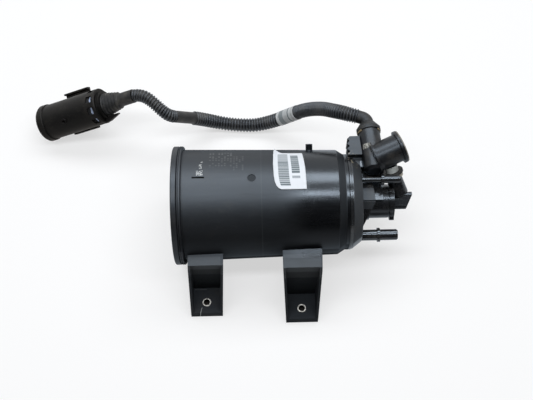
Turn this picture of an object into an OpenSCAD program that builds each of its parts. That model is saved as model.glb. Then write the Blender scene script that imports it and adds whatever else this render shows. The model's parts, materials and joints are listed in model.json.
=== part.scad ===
// Fuel-vapour charcoal canister with its vent valve, vent tee, vent hose and air filter.
// It lies on its two feet: +Z up, +X along the canister towards its ports, +Y away from the feet.
// The origin is midway between the two foot bolts, on the face that they bolt to.

/* [Placement] */
// Gap between the weld flanges and the mounting face
ground_gap = 0.5; // [0.2:0.1:3]
// Distance of the canister's axis behind the middle of the two bolts
axis_back = 96.3; // [92:0.1:104]
// Gap between pieces that are pressed or laid together
fit_gap = 0.05; // [0.02:0.01:0.15]
// Gap between pieces that are dropped in loosely
loose_gap = 0.25; // [0.1:0.05:0.4]

/* [Shell] */
// Place of the weld between shell and end cap, along the axis
weld_x = -76.4; // [-90:0.1:-70]
// Length of the tapered shell, flange to shoulder
shell_len = 163.4; // [150:0.1:185]
// Outer radius of the shell at the cap end
shell_r_cap = 60.3; // [59:0.1:61.5]
// Outer radius of the shell at the head end
shell_r_head = 56.5; // [55:0.1:58]
// Thickness of the shell's wall
shell_wall = 2.6; // [2:0.1:3.2]
// Length of the shoulder between shell and neck
shoulder_len = 7.5; // [6:0.5:10]
// Outer radius of the neck and of the port head
neck_r = 51.7; // [49:0.1:53]
// Length of the neck
neck_len = 3.8; // [3:0.1:6]
// Height of the weld flanges above the shell
flange_lip = 3.7; // [2.5:0.1:5]
// Thickness of the shell's weld flange
flange_t = 4.5; // [3:0.5:6]
// Bevel along the flange edges
flange_bevel = 0.8; // [0.4:0.1:1.2]
// Place of the fine groove round the shell's flange, from the weld
groove_from = 1.6; // [1.2:0.1:2.4]
// Radius of the locating peg
peg_r = 3.7; // [2.5:0.1:4.5]
// Height of the locating peg above the shell
peg_len = 7; // [4:0.5:10]
// Place of the locating peg along the shell, from its flange
peg_along = 135.1; // [110:0.1:145]
// Lean of the locating peg back from upright
peg_lean = 59; // [40:1:70]
// Radius of the round gate mark on top of the shell
gate_mark_r = 4.2; // [3:0.1:5]
// Place of the gate mark along the shell, from its flange
gate_mark_along = 73.2; // [60:0.1:100]

/* [Feet] */
// Distance between the bolts along the canister
foot_spacing = 104; // [90:1:120]
// Distance by which the port-side bolt stands further out
foot_stagger = 9.3; // [6:0.1:12]
// Width of the cap-side foot at its roof
foot_w_roof = 37.5; // [35:0.5:40]
// Width of the port-side foot at its roof
foot_w_roof_port = 41.5; // [36:0.5:44]
// Width of a foot at its plate
foot_w_plate = 34.6; // [32:0.1:36]
// Sideways lean of the cap-side foot's roof
foot_lean = 2.3; // [0:0.1:4]
// Sideways lean of the port-side foot's roof
foot_lean_port = 0.8; // [0:0.1:4]
// Thickness of the gussets, back wall and roof
gusset_t = 2.6; // [2:0.1:3.2]
// Thickness of the bolted plate
plate_t = 7; // [5:0.5:9]
// Height of the roof's outer edge above the canister's axis
eave_up = 3; // [0:0.5:8]
// Distance of the roof's outer edge beyond the shell
eave_out = 13; // [11:0.1:16]
// Distance from a bolt back to the foot's wall
bolt_to_wall = 16.7; // [14:0.1:19]
// Distance from a bolt to the front edge of its plate
bolt_to_front = 12.2; // [10:0.1:15]
// Outer radius of the steel sleeves
sleeve_r = 4.7; // [4.4:0.1:6]
// Bore radius of the steel sleeves
sleeve_bore_r = 3.3; // [2.7:0.1:3.6]
// Height by which the sleeves stand above their plates
sleeve_proud = 0.4; // [0.2:0.1:0.8]

/* [End cap] */
// Thickness of the cap's weld flange
cap_t = 6.2; // [5:0.1:8]
// Thickness of the cap's panel
cap_panel_t = 2.6; // [2:0.1:3.2]
// Depth of the cap's panel below its rim
cap_recess = 3; // [2:0.1:3.5]
// Length of the cap's lip inside the shell
cap_lip_len = 6; // [4:0.5:8]
// Number of ribs on the cap
cap_ribs = 12; // [8:1:18]

/* [Bed] */
// Thickness of the foam pads
pad_t = 6; // [4:0.5:8]
// Thickness of the support grid and of the retainer plate
grid_t = 3; // [2.5:0.1:4]
// Radius of the air holes in the grid and the plate
grid_hole_r = 3.4; // [2.5:0.1:3.8]
// Length of the pressed bed spring
bed_spring_len = 16.5; // [14:0.5:20]
// Mean radius of the bed spring
bed_spring_r = 25; // [22:0.5:30]
// Wire radius of the bed spring
bed_wire_r = 1.1; // [0.8:0.1:1.4]
// Outer radius of the return tube
tube_r = 11.4; // [11:0.1:12.5]
// Wall of the return tube
tube_wall = 1.7; // [1.3:0.1:2]

/* [Port head] */
// Length of the head's plain ring
head_ring_len = 4.4; // [3:0.1:8]
// Length of the chamfer from the ring to the end face
head_chamfer = 9.8; // [6:0.1:11]
// Radius of the end face
head_face_r = 43.5; // [42:0.5:46]
// Wall of the head
head_wall = 3; // [2.5:0.1:3.5]
// Outer radius of the purge nipple
purge_r = 5.9; // [5:0.1:6.5]
// Length of the purge nipple beyond the end face
purge_len = 39; // [34:0.5:44]
// Outer radius of the small test nipple
test_r = 4.2; // [3.6:0.1:4.6]
// Outer radius of the test nipple's neck
test_neck_r = 3; // [2.6:0.1:3.4]
// Length of the test nipple beyond the end face
test_len = 41; // [36:0.5:44]
// Wall of both nipples
nipple_wall = 1.3; // [1:0.1:1.6]
// Height of the stop beads above the nipples
bead_h = 1.7; // [1.2:0.1:2]
// Depth of the valve socket
socket_depth = 9; // [8:0.5:11]
// Wall of the valve socket
socket_wall = 3.2; // [2.5:0.1:3.4]

/* [Vent valve] */
// Radius of the valve's body
valve_r = 18.3; // [18:0.1:19]
// Length of the valve's body beyond the socket
valve_len = 20.5; // [19:0.5:24]
// Radius of the snout in the socket
snout_r = 16.8; // [16.5:0.1:17]
// Radius of the section of the snout's seal ring
valve_o_ring_r = 1.1; // [0.9:0.05:1.15]
// Radius of the plunger
plunger_r = 6.5; // [6:0.1:7]
// Radius of the plunger's push rod
rod_r = 2; // [1.6:0.1:2.4]
// Travel of the plunger
plunger_travel = 2.5; // [1.5:0.1:3]
// Sliding gap round the plunger and its rod
slide_gap = 0.06; // [0.03:0.01:0.1]
// Radius of the outlet tower at its top
tower_r = 8; // [7.6:0.1:9.2]
// Length of the cable connector
connector_len = 20; // [18:0.5:24]
// Radius of the outlet tower at its foot
tower_foot_r = 9.6; // [8.6:0.1:10]

/* [Vent tee] */
// Radius of the tee's run
tee_r = 11.6; // [11:0.1:12]
// Wall of the tee
tee_wall = 2.2; // [1.8:0.1:2.6]
// Height of the tee's axis above the canister's axis
tee_up = 40; // [40:0.1:43]
// Place of the tee's run along the canister, beyond the head's face
tee_along = 13.4; // [13:0.1:15]
// Distance of the branch behind the canister's axis
branch_back = 31; // [29:0.1:34]
// Length of the run from the branch to its collar end
run_len = 33.8; // [30:0.1:38]
// Turn of the run about the upright
tee_turn = 5; // [3:0.5:7]
// Radius of the flanged branch
branch_r = 15; // [14:0.1:15.5]
// Length of the branch from the run's axis to its flange face
branch_len = 32.5; // [30:0.5:38]
// Turn of the branch away from the canister's axis
branch_turn = 22; // [18:1:26]
// Rise of the branch towards its flange
branch_rise = 8; // [4:1:10]
// Radius of the branch's flange
branch_flange_r = 17.8; // [17:0.1:19]

/* [Hose] */
// Outer radius of the long hose
hose_r = 8.1; // [7.5:0.1:8.3]
// Outer radius of the short hose
short_hose_r = 7.2; // [6.5:0.1:7.6]
// Outer radius of the plain joiner
joiner_r = 6.9; // [6.4:0.1:7.4]
// Outer radius of the connector's collar
collar_r = 12.9; // [12.8:0.1:14]
// Bend radius of the connector's elbow
elbow_bend = 8.2; // [7.8:0.1:10]
// Turn of the connector's elbow
elbow_angle = 65; // [50:1:80]

/* [Air filter] */
// Radius of the filter's housing
filter_r = 20.5; // [19:0.1:22]
// Wall of the filter's housing
filter_wall = 1.8; // [1.4:0.1:2.2]
// Length of the filter's housing
filter_len = 79.5; // [74:0.5:84]
// Number of air windows
filter_windows = 9; // [6:1:12]
// Reach of the filter's mounting plate on its upper side
filter_plate_up = 29; // [26:0.5:31]
// Reach of the filter's mounting plate on its lower side
filter_plate_down = 20.3; // [18:0.1:24]
// Slope of the filter down towards its closed end
filter_slope = 26; // [25:0.5:28]
// Turn of the filter away from the canister's axis
filter_turn = 2; // [0:0.5:4]
// Roll of the filter about its own axis
filter_roll = 27; // [24:1:27]

/* [Hidden] */
$fn = 72;
over = 1;

black = [0.10, 0.10, 0.11];
soft_black = [0.06, 0.06, 0.065];
steel = [0.70, 0.69, 0.66];
pale = [0.72, 0.73, 0.70];
dirty_white = [0.66, 0.60, 0.48];

// Flanges, and the height and reach that follow from them
flange_r = shell_r_cap + flange_lip;
axis_height = flange_r + ground_gap;
eave_z = axis_height + eave_up;
eave_reach = shell_r_cap + eave_out;
groove_w = 0.7;

// Places along the canister's axis
cap_x = weld_x - cap_t;
body_x = weld_x + flange_t;
shoulder_x = body_x + shell_len;
neck_x = shoulder_x + shoulder_len;
seam_x = neck_x + neck_len;
ring_x = seam_x + head_ring_len;
face_x = ring_x + head_chamfer;
socket_x = face_x + socket_depth;

// Inside of the shell, and the stack of grid, pads, bed, plate and spring
bore_cap = shell_r_cap - shell_wall;
bore_head = shell_r_head - shell_wall;
function bore_at(x) = bore_cap + (bore_head - bore_cap) * (x - body_x) / shell_len;
panel_x = cap_x + cap_recess + cap_panel_t;
plate_x = panel_x + bed_spring_len;
cap_pad_x = plate_x + grid_t;
bed_x = cap_pad_x + pad_t;
grid_x = shoulder_x - grid_t;
head_pad_x = grid_x - pad_t;
tube_hole_r = tube_r + loose_gap;
tube_foot = 5;
air_rings = [[20, 8], [31, 13], [43, 18]];
bed_turns = 4;

// Cap panel
cap_dish = 1;
cap_hub_r = 9;
cap_hub_sunk = 0.5;
cap_rib_t = 2;
cap_rib_sunk = 0.8;
spring_ring_h = 4;
spring_ring_t = 2;

// Marks and peg on the shell
gate_mark_depth = 0.6;
gate_mark_turn = 3.5;
peg_hole_r = 1.7;
peg_hole_depth = 2;

// Feet
root_n = 0.72 * bore_head;
root_top = 13;
root_low = 25;
roof_fold = 8.5;
roof_fold_rise = 2.1;
lip_out = 3.6;
lip_drop = 2.4;
plate_draft = 1.6;

// Nipples, as places across and above the canister's axis
purge_at = [-36.4, -7.6];
test_at = [9.2, 35.5];
purge_bead = 17;
test_bead = 20.5;
bead_w = 3;
tip_len = 1;
tip_bevel = 0.7;
head_lip = 4;
ring_bead = 0.7;
ring_bead_w = 2;

// Valve, from its seat in the socket to its connector
snout_x = face_x + loose_gap;
seat_wall = 2.5;
seat_lip = 1.1;
seat_r = 6;
seat_t = 1.4;
seat_x = snout_x + seat_wall + seat_lip;
end_play = 0.1;
seal_x = seat_x + plunger_travel + end_play;
seal_t = 3;
seal_r = 8.5;
seal_bevel = 2;
seal_room = 0.5;
rod_sunk = 1;
core_x = seal_x + seal_t + seal_room;
core_flange_t = 2;
core_len = 9;
core_slots = 6;
core_slot_r = 2.2;
bobbin_x = core_x + core_flange_t;
valve_end = socket_x + valve_len;
spigot_len = 1.5;
bobbin_end = valve_end - spigot_len;
core_end = core_x + core_len;
spring_room = 4.6;
spring_sunk = 4;
spring_seat_x = core_x + spring_sunk;
spring_r = 3.5;
spring_wire_r = 0.4;
spring_turns = 5;
plunger_x = core_end + plunger_travel + end_play;
plunger_room = 0.4;
plunger_end = valve_end - plunger_room;
chamber_r = 13;
valve_wall = 2;
valve_bore = valve_r - valve_wall;
o_ring_from = 3;
o_ring_room = 0.2;
bobbin_r = 13.4;
bobbin_wall = 1.5;
bobbin_tube_r = plunger_r + slide_gap + bobbin_wall;
bobbin_flange_t = 1.5;
coil_sunk = 0.4;
frame_t = 0.8;
groove_len = 1.5;
groove_depth = 1.1;
groove_r = valve_r - groove_depth;
valve_flange_t = 5;
valve_flange_lip = 0.4;
valve_flange_r = valve_r + valve_flange_lip;
lug_r = 3.6;
lug_at = [-17.2, -4.2];
valve_flange_end = valve_end + groove_len + valve_flange_t;
connector_w = 18.6;
connector_t = 14.5;
connector_tilt = 24;
connector_wall = 1.7;
connector_floor = 9;
connector_round = 3.4;
connector_slant = 7;
connector_end = valve_flange_end + connector_len;
terminal_gap = 6;
terminal_size = [5, 2.4, 0.8];

// Outlet stack between the valve's tower and the tee, along one slanted line
tower_out = 6.5;
tower_back = 6.7;
tower_up = 6.5;
tower_floor = 4;
tower_foot = [valve_flange_end + tower_out, axis_back + tower_back, axis_height + tower_up];
tee_x = face_x + tee_along;
tee_z = axis_height + tee_up;
branch_dir = [
    cos(branch_turn) * cos(branch_rise), sin(branch_turn) * cos(branch_rise), sin(branch_rise)
];
branch_from = [tee_x, axis_back + branch_back, tee_z];
stub_along = 15.5;
branch_point = branch_from + stub_along * branch_dir;
stack_dir = unit(branch_point - tower_foot);
stack_len = norm(branch_point - tower_foot);
ring_at = 20.5;
ring_t = 4;
ring_r = 10.2;
seal_ring_t = 2.4;
seal_ring_r = 11.4;
sleeve_at = ring_at + ring_t + seal_ring_t;
pale_sleeve_r = 7;
stub_r = 5.4;
stub_out = 0.8;
stub_at = stack_len - branch_r - stub_out;
pale_sleeve_len = stub_at - sleeve_at;
stack_bore = 3.9;

// Tee: ends of its run, and the rings on its branch
run_front = 14.2;
run_bevel = 2.5;
root_ring_from = 1;
root_ring_t = 2.4;
root_ring_lip = 3;
branch_flange_t = 3;
gasket_t = 1.2;
gasket_inset = 0.4;

// Quick connector on the tee's collar end, as places along the run from the branch
skirt_len = 1.5;
spigot_r = 8.2;
spigot_out = 7;
collar_y = run_len - skirt_len;
collar_len = 11;
collar_rim = 4;
collar_end = collar_y + collar_len;
elbow_r = 7;
elbow_bore = 4.6;
elbow_tail = 5;
elbow_step = 0.8;
retainer_w = 1.6;
retainer_sunk = 0.4;
retainer_open = 90;
tee_o_ring_from = 3.2;
tee_o_ring_w = 2;
tee_o_ring_r = 0.85;
function turned(across, back) =
    [cos(tee_turn) * across - sin(tee_turn) * back, sin(tee_turn) * across + cos(tee_turn) * back, 0];

// Shelf, strap, saddle and clip tower on the head, round the tee
saddle_gap = 0.3;
shelf_top = tee_up - tee_r - saddle_gap;
shelf_t = 3;
shelf_front = -11.2;
shelf_back = 27;
shelf_out = tee_along + 0.8;
shelf_out_back = tee_along - 2.4;
web_t = 2.5;
web_drop = 34;
gusset_len = 31;
gusset_slope = 47;
strap_out = 23.2;
strap_front = -8;
strap_back = 29;
strap_low = valve_r + 0.5;
strap_t = 2.5;
saddle_front = 24;
saddle_back = 52;
saddle_low = 14;
saddle_high = tee_up - 4;
saddle_right = tee_x - 8;
clip_left = seam_x + 0.8;
clip_right = tee_x - tee_r + 0.6;
clip_front = 35;
clip_back = 57;
clip_low = 20;
clip_high = 44;
clip_notch = 2;
clip_notches = 3;
clip_corner = 3;

// Air filter, from its closed end
filter_at = [-242.5, 226.1, 18.2];
filter_start = 3;
filter_end = filter_start + filter_len;
filter_cap_lip = 1.1;
filter_cap_r = filter_r + filter_cap_lip;
filter_cap_len = 10;
filter_bevel = 1;
filter_step_r = 16;
filter_step_len = 4;
neck_bore = 6;
filter_spigot_r = 7.6;
filter_spigot_len = 12;
neck_end = 123.5;
filter_dir = [
    cos(filter_slope) * cos(filter_turn), cos(filter_slope) * sin(filter_turn), sin(filter_slope)
];
filter_plate_t = 2.5;
filter_plate_from = 24.5;
filter_plate_len = 33;
filter_plate_sunk = 0.6;
window_w = 8;
window_len = 7;
window_from = filter_end - filter_wall - 2 - window_len;
rail_h = 4;
rail_t = 2;
boss_at = 38;
boss_turn = 198.5;
boss_r = 3.3;
boss_h = 0.9;
boss_hole_r = 2.1;
tongue_w = 5;
tongue_len = 17;
tongue_tip = 1;
filter_core_r = neck_bore + 3;

// Rubber neck of the filter
neck_r_base = 13;
neck_ribs = 5;
neck_rib_pitch = 3.6;
neck_rib_h = 1.2;
neck_taper = 0.8;
neck_rib_from = filter_end + filter_step_len + 1.5;
neck_rib_end = neck_rib_from + neck_ribs * neck_rib_pitch;
cuff_r = 7.8;

// Route of the hose, from the elbow to the filter
hose_start = branch_from + turned(
    elbow_bend * (cos(elbow_angle) - 1) - elbow_tail * sin(elbow_angle),
    collar_end + elbow_bend * sin(elbow_angle) + elbow_tail * cos(elbow_angle)
);
hose_start_dir = turned(-sin(elbow_angle), cos(elbow_angle));
joiner_from = [-67, 220.5, 34.5];
joiner_to = [-87, 211.5, 55.5];
hose_finish = filter_at + neck_end * filter_dir;
long_route = [
    hose_start, [107.5, 182.2, 104], [99.5, 186.4, 101.3], [92, 191.8, 95.3], [83, 200, 85], [72, 209, 70],
    [60, 216, 54], [47, 220, 38], [34, 222, 25], [20, 223, 15], [6, 223, 10], [-12, 224, 8.6],
    [-28, 225, 10.5], [-43, 225.5, 15.5], [-55.5, 224, 24], joiner_from
];
short_route = [
    joiner_to, [-93.3, 210.5, 62], [-99.5, 213, 67.5], [-106, 217.5, 72.3], [-112, 222, 75],
    [-118, 226, 76], [-125, 228.8, 74.9], hose_finish
];
hose_sides = 12;

function unit(v) = v / norm(v);

// A solid of revolution about the canister's axis, from points given as place along the axis and radius
module revolve_x(points) {
    translate([0, axis_back, axis_height])
        rotate([0, 90, 0])
            rotate_extrude()
                polygon([for (p = points) [p[1], p[0]]]);
}

// A round rod along the canister, at a place across and above its axis
module rod_x(x0, x1, r, at = [0, 0]) {
    translate([x0, axis_back + at[0], axis_height + at[1]])
        rotate([0, 90, 0])
            cylinder(h = x1 - x0, r = r);
}

// Turns +Z to a direction, from a point, after a roll about it
module along(point, dir, roll = 0) {
    translate(point)
        rotate([0, acos(dir[2] / norm(dir)), atan2(dir[1], dir[0])])
            rotate([0, 0, roll])
                children();
}

// A ring or disc on the slanted outlet line
module stack_ring(from, length, r, bore) {
    along(tower_foot + from * stack_dir, stack_dir)
        difference() {
            cylinder(h = length, r = r);
            translate([0, 0, -over])
                cylinder(h = length + 2 * over, r = bore);
        }
}

// A tube swept through rings: each ring has a centre and two cross directions
module swept(centres, sides, ups, r, count) {
    rings = len(centres);
    points = [
        for (i = [0:rings - 1]) for (j = [0:count - 1])
            centres[i] + r * (cos(360 * j / count) * sides[i] + sin(360 * j / count) * ups[i])
    ];
    walls = [
        for (i = [0:rings - 2]) for (j = [0:count - 1])
            each [
                [i * count + j, i * count + (j + 1) % count, (i + 1) * count + (j + 1) % count],
                [i * count + j, (i + 1) * count + (j + 1) % count, (i + 1) * count + j]
            ]
    ];
    first = [for (j = [count - 1:-1:0]) j];
    last = [for (j = [0:count - 1]) (rings - 1) * count + j];
    polyhedron(points = points, faces = concat(walls, [first, last]), convexity = 6);
}

// A hose along a route, square to the given directions at its ends
module hose(route, start_dir, end_dir, r) {
    n = len(route);
    inner = [for (i = [1:n - 2]) unit(route[i + 1] - route[i - 1])];
    tangents = concat([unit(start_dir)], inner, [unit(end_dir)]);
    sides = [for (t = tangents) unit(cross([0, 0, 1], t))];
    ups = [for (i = [0:n - 1]) cross(sides[i], tangents[i])];
    swept(route, sides, ups, r, hose_sides);
}

// A coil spring on the canister's axis
module coil_x(x0, x1, mean_r, wire_r, turns, count, steps) {
    n = turns * steps;
    rise = x1 - x0 - 2 * wire_r;
    angles = [for (i = [0:n]) 360 * i / steps];
    outs = [for (a = angles) [0, cos(a), sin(a)]];
    centres = [for (i = [0:n]) [x0 + wire_r + rise * i / n, 0, 0] + mean_r * outs[i]];
    translate([0, axis_back, axis_height])
        swept(centres, outs, [for (a = angles) [1, 0, 0]], wire_r, count);
}

// Rings of air holes for the grid and the retainer plate
module air_holes(x) {
    for (ring = air_rings)
        for (i = [0:ring[1] - 1]) {
            turn = 360 * i / ring[1];
            rod_x(x - over, x + grid_t + over, grid_hole_r, ring[0] * [cos(turn), sin(turn)]);
        }
}

// A disc that fills the shell between two places, round the return tube
module bed_layer(x0, x1) {
    revolve_x([
        [x0, tube_hole_r], [x0, bore_at(x0) - loose_gap], [x1, bore_at(x1) - loose_gap], [x1, tube_hole_r]
    ]);
}

// Side view of a foot drawn as distance in front of the axis and height, spread along the canister
module foot_side(points) {
    translate([0, axis_back, 0])
        rotate([90, 0, -90])
            linear_extrude(2 * foot_w_roof_port, center = true)
                polygon(points);
}

// Wedge that narrows a foot from its leaning roof to its plate
module foot_taper(inset, roof_w, lean) {
    low = foot_w_plate / 2 - inset;
    spread = (roof_w - foot_w_plate) / 2;
    left = (lean - spread) / eave_z;
    right = (lean + spread) / eave_z;
    top = 2 * eave_z;
    translate([0, axis_back, 0])
        rotate([90, 0, 0])
            linear_extrude(2 * axis_back)
                polygon([
                    [-low - left * over, -over], [low - right * over, -over],
                    [low + right * top, top], [-low + left * top, top]
                ]);
}

function bolt_y(side) = -side * foot_stagger / 2;

// One gusseted foot, with a pocket over its plate and another behind its wall
module foot(side) {
    bolt_n = axis_back - bolt_y(side);
    eave_n = eave_reach + side * foot_stagger / 4;
    wall_n = bolt_n - bolt_to_wall;
    front_n = bolt_n + bolt_to_front;
    fold_n = eave_n - roof_fold;
    fold_z = eave_z + roof_fold_rise;
    top_z = axis_height + root_top;
    far_n = front_n + bolt_to_front;
    roof_w = side < 0 ? foot_w_roof : foot_w_roof_port;
    lean = side < 0 ? foot_lean : foot_lean_port;
    translate([side * foot_spacing / 2, 0, 0])
        difference() {
            intersection() {
                foot_side([
                    [root_n, top_z], [fold_n, fold_z], [eave_n, eave_z],
                    [eave_n + lip_out, eave_z - lip_drop], [front_n, plate_t], [front_n + plate_draft, 0],
                    [wall_n - gusset_t, 0], [root_n, axis_height - root_low]
                ]);
                foot_taper(0, roof_w, lean);
            }
            intersection() {
                foot_side([
                    [eave_n, 2 * eave_z], [eave_n, eave_z], [wall_n, plate_t], [far_n, plate_t],
                    [far_n, 2 * eave_z]
                ]);
                foot_taper(gusset_t, roof_w, lean);
            }
            intersection() {
                foot_side([
                    [wall_n - gusset_t, -over], [wall_n - gusset_t, plate_t],
                    [eave_n - gusset_t, eave_z - gusset_t], [fold_n - gusset_t, fold_z - gusset_t],
                    [root_n - over, top_z - gusset_t], [root_n - over, -over]
                ]);
                foot_taper(gusset_t, roof_w, lean);
            }
            translate([0, bolt_y(side), -over])
                cylinder(h = plate_t + 2 * over, r = sleeve_r + fit_gap);
        }
}

// Hose nipple with a neck, a stop bead and a bevelled tip, out of the head's end face
module nipple(at, neck, r, length, bead) {
    tip = face_x + length;
    rod_x(face_x - head_chamfer, face_x + bead + bead_w, neck, at);
    rod_x(face_x + bead, tip - tip_len, r, at);
    rod_x(tip - tip_len - fit_gap, tip, r - tip_bevel, at);
    rod_x(face_x + bead, face_x + bead + bead_w, r + bead_h, at);
}

module nipple_bore(at, neck, length) {
    rod_x(face_x - head_chamfer - over, face_x + length + over, neck - nipple_wall, at);
}

// Block on the head, from a plan of places along the canister and across its axis, between two heights
module head_block(plan, low, high) {
    translate([0, axis_back, axis_height + low])
        linear_extrude(high - low)
            polygon(plan);
}

// Triangular web under the shelf
module shelf_web(y) {
    low = shelf_top - shelf_t / 2;
    translate([face_x, axis_back + y + web_t, axis_height])
        rotate([90, 0, 0])
            linear_extrude(web_t)
                polygon([[-over, low], [shelf_out_back, low], [-over, shelf_top - web_drop]]);
}

// Slanted gusset from the shelf's front edge down to the end face
module front_gusset() {
    translate([face_x, axis_back + shelf_front, axis_height + shelf_top - shelf_t])
        rotate([gusset_slope, 0, 0])
            linear_extrude(web_t)
                polygon([
                    [-over, over], [shelf_out, over], [shelf_out, 0], [0, -gusset_len], [-over, -gusset_len]
                ]);
}

// Clip tower beside the tee, with notches down its outer side
module clip_tower() {
    step = (clip_back - clip_front - clip_corner) / clip_notches;
    floor = clip_left + clip_notch;
    notches = [
        for (i = [0:clip_notches - 1])
            let (y = clip_front + i * step)
                each [
                    [clip_left, y + 0.3 * step], [floor, y + 0.5 * step], [floor, y + 0.75 * step],
                    [clip_left, y + step]
                ]
    ];
    head_block(
        concat(
            [[clip_right, clip_front], [clip_left, clip_front]],
            notches,
            [[clip_left + clip_corner, clip_back], [clip_right - clip_corner, clip_back],
             [clip_right, clip_back - clip_corner]]
        ),
        clip_low, clip_high
    );
}

module canister_shell() {
    gate_x = body_x + gate_mark_along;
    groove_x = weld_x + groove_from;
    groove_floor = flange_r - groove_w;
    color(black)
        difference() {
            union() {
                revolve_x([
                    [weld_x, 0], [weld_x, flange_r - flange_bevel], [weld_x + flange_bevel, flange_r],
                    [groove_x, flange_r], [groove_x, groove_floor], [groove_x + groove_w, groove_floor],
                    [groove_x + groove_w, flange_r], [body_x - flange_bevel, flange_r],
                    [body_x, flange_r - flange_bevel], [body_x, shell_r_cap], [shoulder_x, shell_r_head],
                    [neck_x, neck_r], [seam_x - flange_bevel / 2, neck_r],
                    [seam_x, neck_r - flange_bevel / 2], [seam_x, 0]
                ]);
                foot(-1);
                foot(1);
                locating_peg(0, shell_r_head + peg_len, peg_r);
            }
            revolve_x([
                [weld_x - over, 0], [weld_x - over, bore_cap], [body_x, bore_cap], [shoulder_x, bore_head],
                [neck_x, neck_r - shell_wall], [seam_x + over, neck_r - shell_wall], [seam_x + over, 0]
            ]);
            locating_peg(shell_r_head + peg_len - peg_hole_depth, shell_r_head + peg_len + over, peg_hole_r);
            translate([gate_x, axis_back, axis_height])
                rotate([-gate_mark_turn, 0, 0])
                    translate([0, 0, bore_at(gate_x) + shell_wall - gate_mark_depth])
                        cylinder(h = gate_mark_r, r = gate_mark_r);
        }
}

// Round bar along the locating peg's line, from one distance off the axis to another
module locating_peg(from, to, r) {
    dir = [0, sin(peg_lean), cos(peg_lean)];
    along([body_x + peg_along, axis_back, axis_height] + from * dir, dir)
        cylinder(h = to - from, r = r);
}

module end_cap() {
    lip_r = bore_cap - loose_gap;
    ring_r_out = bed_spring_r - bed_wire_r - loose_gap;
    color(black) {
        revolve_x([
            [cap_x + cap_recess, 0], [cap_x + cap_recess, bore_cap - cap_dish], [cap_x, bore_cap],
            [cap_x, flange_r - flange_bevel], [cap_x + flange_bevel, flange_r],
            [weld_x - flange_bevel, flange_r], [weld_x, flange_r - flange_bevel], [weld_x, lip_r],
            [weld_x + cap_lip_len, lip_r], [weld_x + cap_lip_len, lip_r - cap_panel_t],
            [panel_x, lip_r - cap_panel_t], [panel_x, 0]
        ]);
        rod_x(cap_x + cap_hub_sunk, cap_x + cap_recess + over, cap_hub_r);
        for (i = [0:cap_ribs - 1])
            translate([cap_x + cap_rib_sunk, axis_back, axis_height])
                rotate([360 * i / cap_ribs, 0, 0])
                    translate([0, 0, -cap_rib_t / 2])
                        cube([cap_recess, bore_cap - cap_dish / 2, cap_rib_t]);
        // Ring that centres the bed spring
        difference() {
            rod_x(panel_x - over, panel_x + spring_ring_h, ring_r_out);
            rod_x(panel_x - 2 * over, panel_x + spring_ring_h + over, ring_r_out - spring_ring_t);
        }
    }
}

module port_head() {
    lip_r = neck_r - shell_wall - loose_gap;
    lip_x = seam_x - head_lip;
    bead_x = ring_x - ring_bead_w;
    bead_floor = neck_r - ring_bead;
    color(black)
        difference() {
            union() {
                revolve_x([
                    [seam_x, 0], [seam_x, neck_r - flange_bevel / 2], [seam_x + flange_bevel / 2, neck_r],
                    [bead_x, neck_r], [bead_x, bead_floor], [ring_x, bead_floor], [face_x, head_face_r],
                    [face_x, 0]
                ]);
                rod_x(lip_x, seam_x + over, lip_r);
                rod_x(face_x - over, socket_x, snout_r + fit_gap + socket_wall);
                nipple(purge_at, purge_r, purge_r, purge_len, purge_bead);
                nipple(test_at, test_neck_r, test_r, test_len, test_bead);
                head_block([
                    [face_x - over, shelf_front], [face_x + shelf_out, shelf_front],
                    [face_x + shelf_out_back, shelf_back], [face_x - over, shelf_back]
                ], shelf_top - shelf_t, shelf_top);
                shelf_web(shelf_front);
                shelf_web(shelf_back - web_t);
                front_gusset();
                head_block([
                    [face_x - over, strap_front], [face_x + strap_out, strap_front],
                    [face_x + strap_out, strap_back], [face_x - over, strap_back]
                ], strap_low, strap_low + strap_t);
                head_block([
                    [ring_x - over, saddle_front], [saddle_right, saddle_front],
                    [saddle_right, saddle_back], [ring_x - over, saddle_back]
                ], saddle_low, saddle_high);
                clip_tower();
            }
            difference() {
                revolve_x([
                    [lip_x - over, 0], [lip_x - over, lip_r - head_wall], [ring_x - over, lip_r - head_wall],
                    [face_x - head_wall, head_face_r - head_wall], [face_x - head_wall, 0]
                ]);
                // Spigot for the return tube
                rod_x(lip_x, face_x, tube_r - tube_wall - fit_gap);
            }
            rod_x(face_x, socket_x + over, snout_r + fit_gap);
            rod_x(lip_x - 2 * over, face_x + over, seat_r);
            nipple_bore(purge_at, purge_r, purge_len);
            nipple_bore(test_at, test_neck_r, test_len);
            run(-run_front - over, run_len, tee_r + saddle_gap);
        }
}

module foot_sleeves() {
    color(steel)
        for (side = [-1, 1])
            translate([side * foot_spacing / 2, bolt_y(side), 0])
                difference() {
                    cylinder(h = plate_t + sleeve_proud, r = sleeve_r);
                    translate([0, 0, -over])
                        cylinder(h = plate_t + sleeve_proud + 2 * over, r = sleeve_bore_r);
                }
}

module return_tube() {
    color(black)
        difference() {
            rod_x(plate_x - tube_foot, face_x - head_wall, tube_r);
            rod_x(plate_x - tube_foot - over, face_x, tube_r - tube_wall);
        }
}

module charcoal_bed() {
    color([0.05, 0.05, 0.05])
        bed_layer(bed_x, head_pad_x);
}

module head_pad() {
    color([0.35, 0.36, 0.36])
        bed_layer(head_pad_x, grid_x);
}

module cap_pad() {
    color([0.35, 0.36, 0.36])
        bed_layer(cap_pad_x, bed_x);
}

module support_grid() {
    color(black)
        difference() {
            bed_layer(grid_x, shoulder_x);
            air_holes(grid_x);
        }
}

module retainer_plate() {
    color(black)
        difference() {
            bed_layer(plate_x, cap_pad_x);
            air_holes(plate_x);
        }
}

module bed_spring() {
    color(steel)
        coil_x(panel_x, plate_x, bed_spring_r, bed_wire_r, bed_turns, 8, 24);
}

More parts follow.
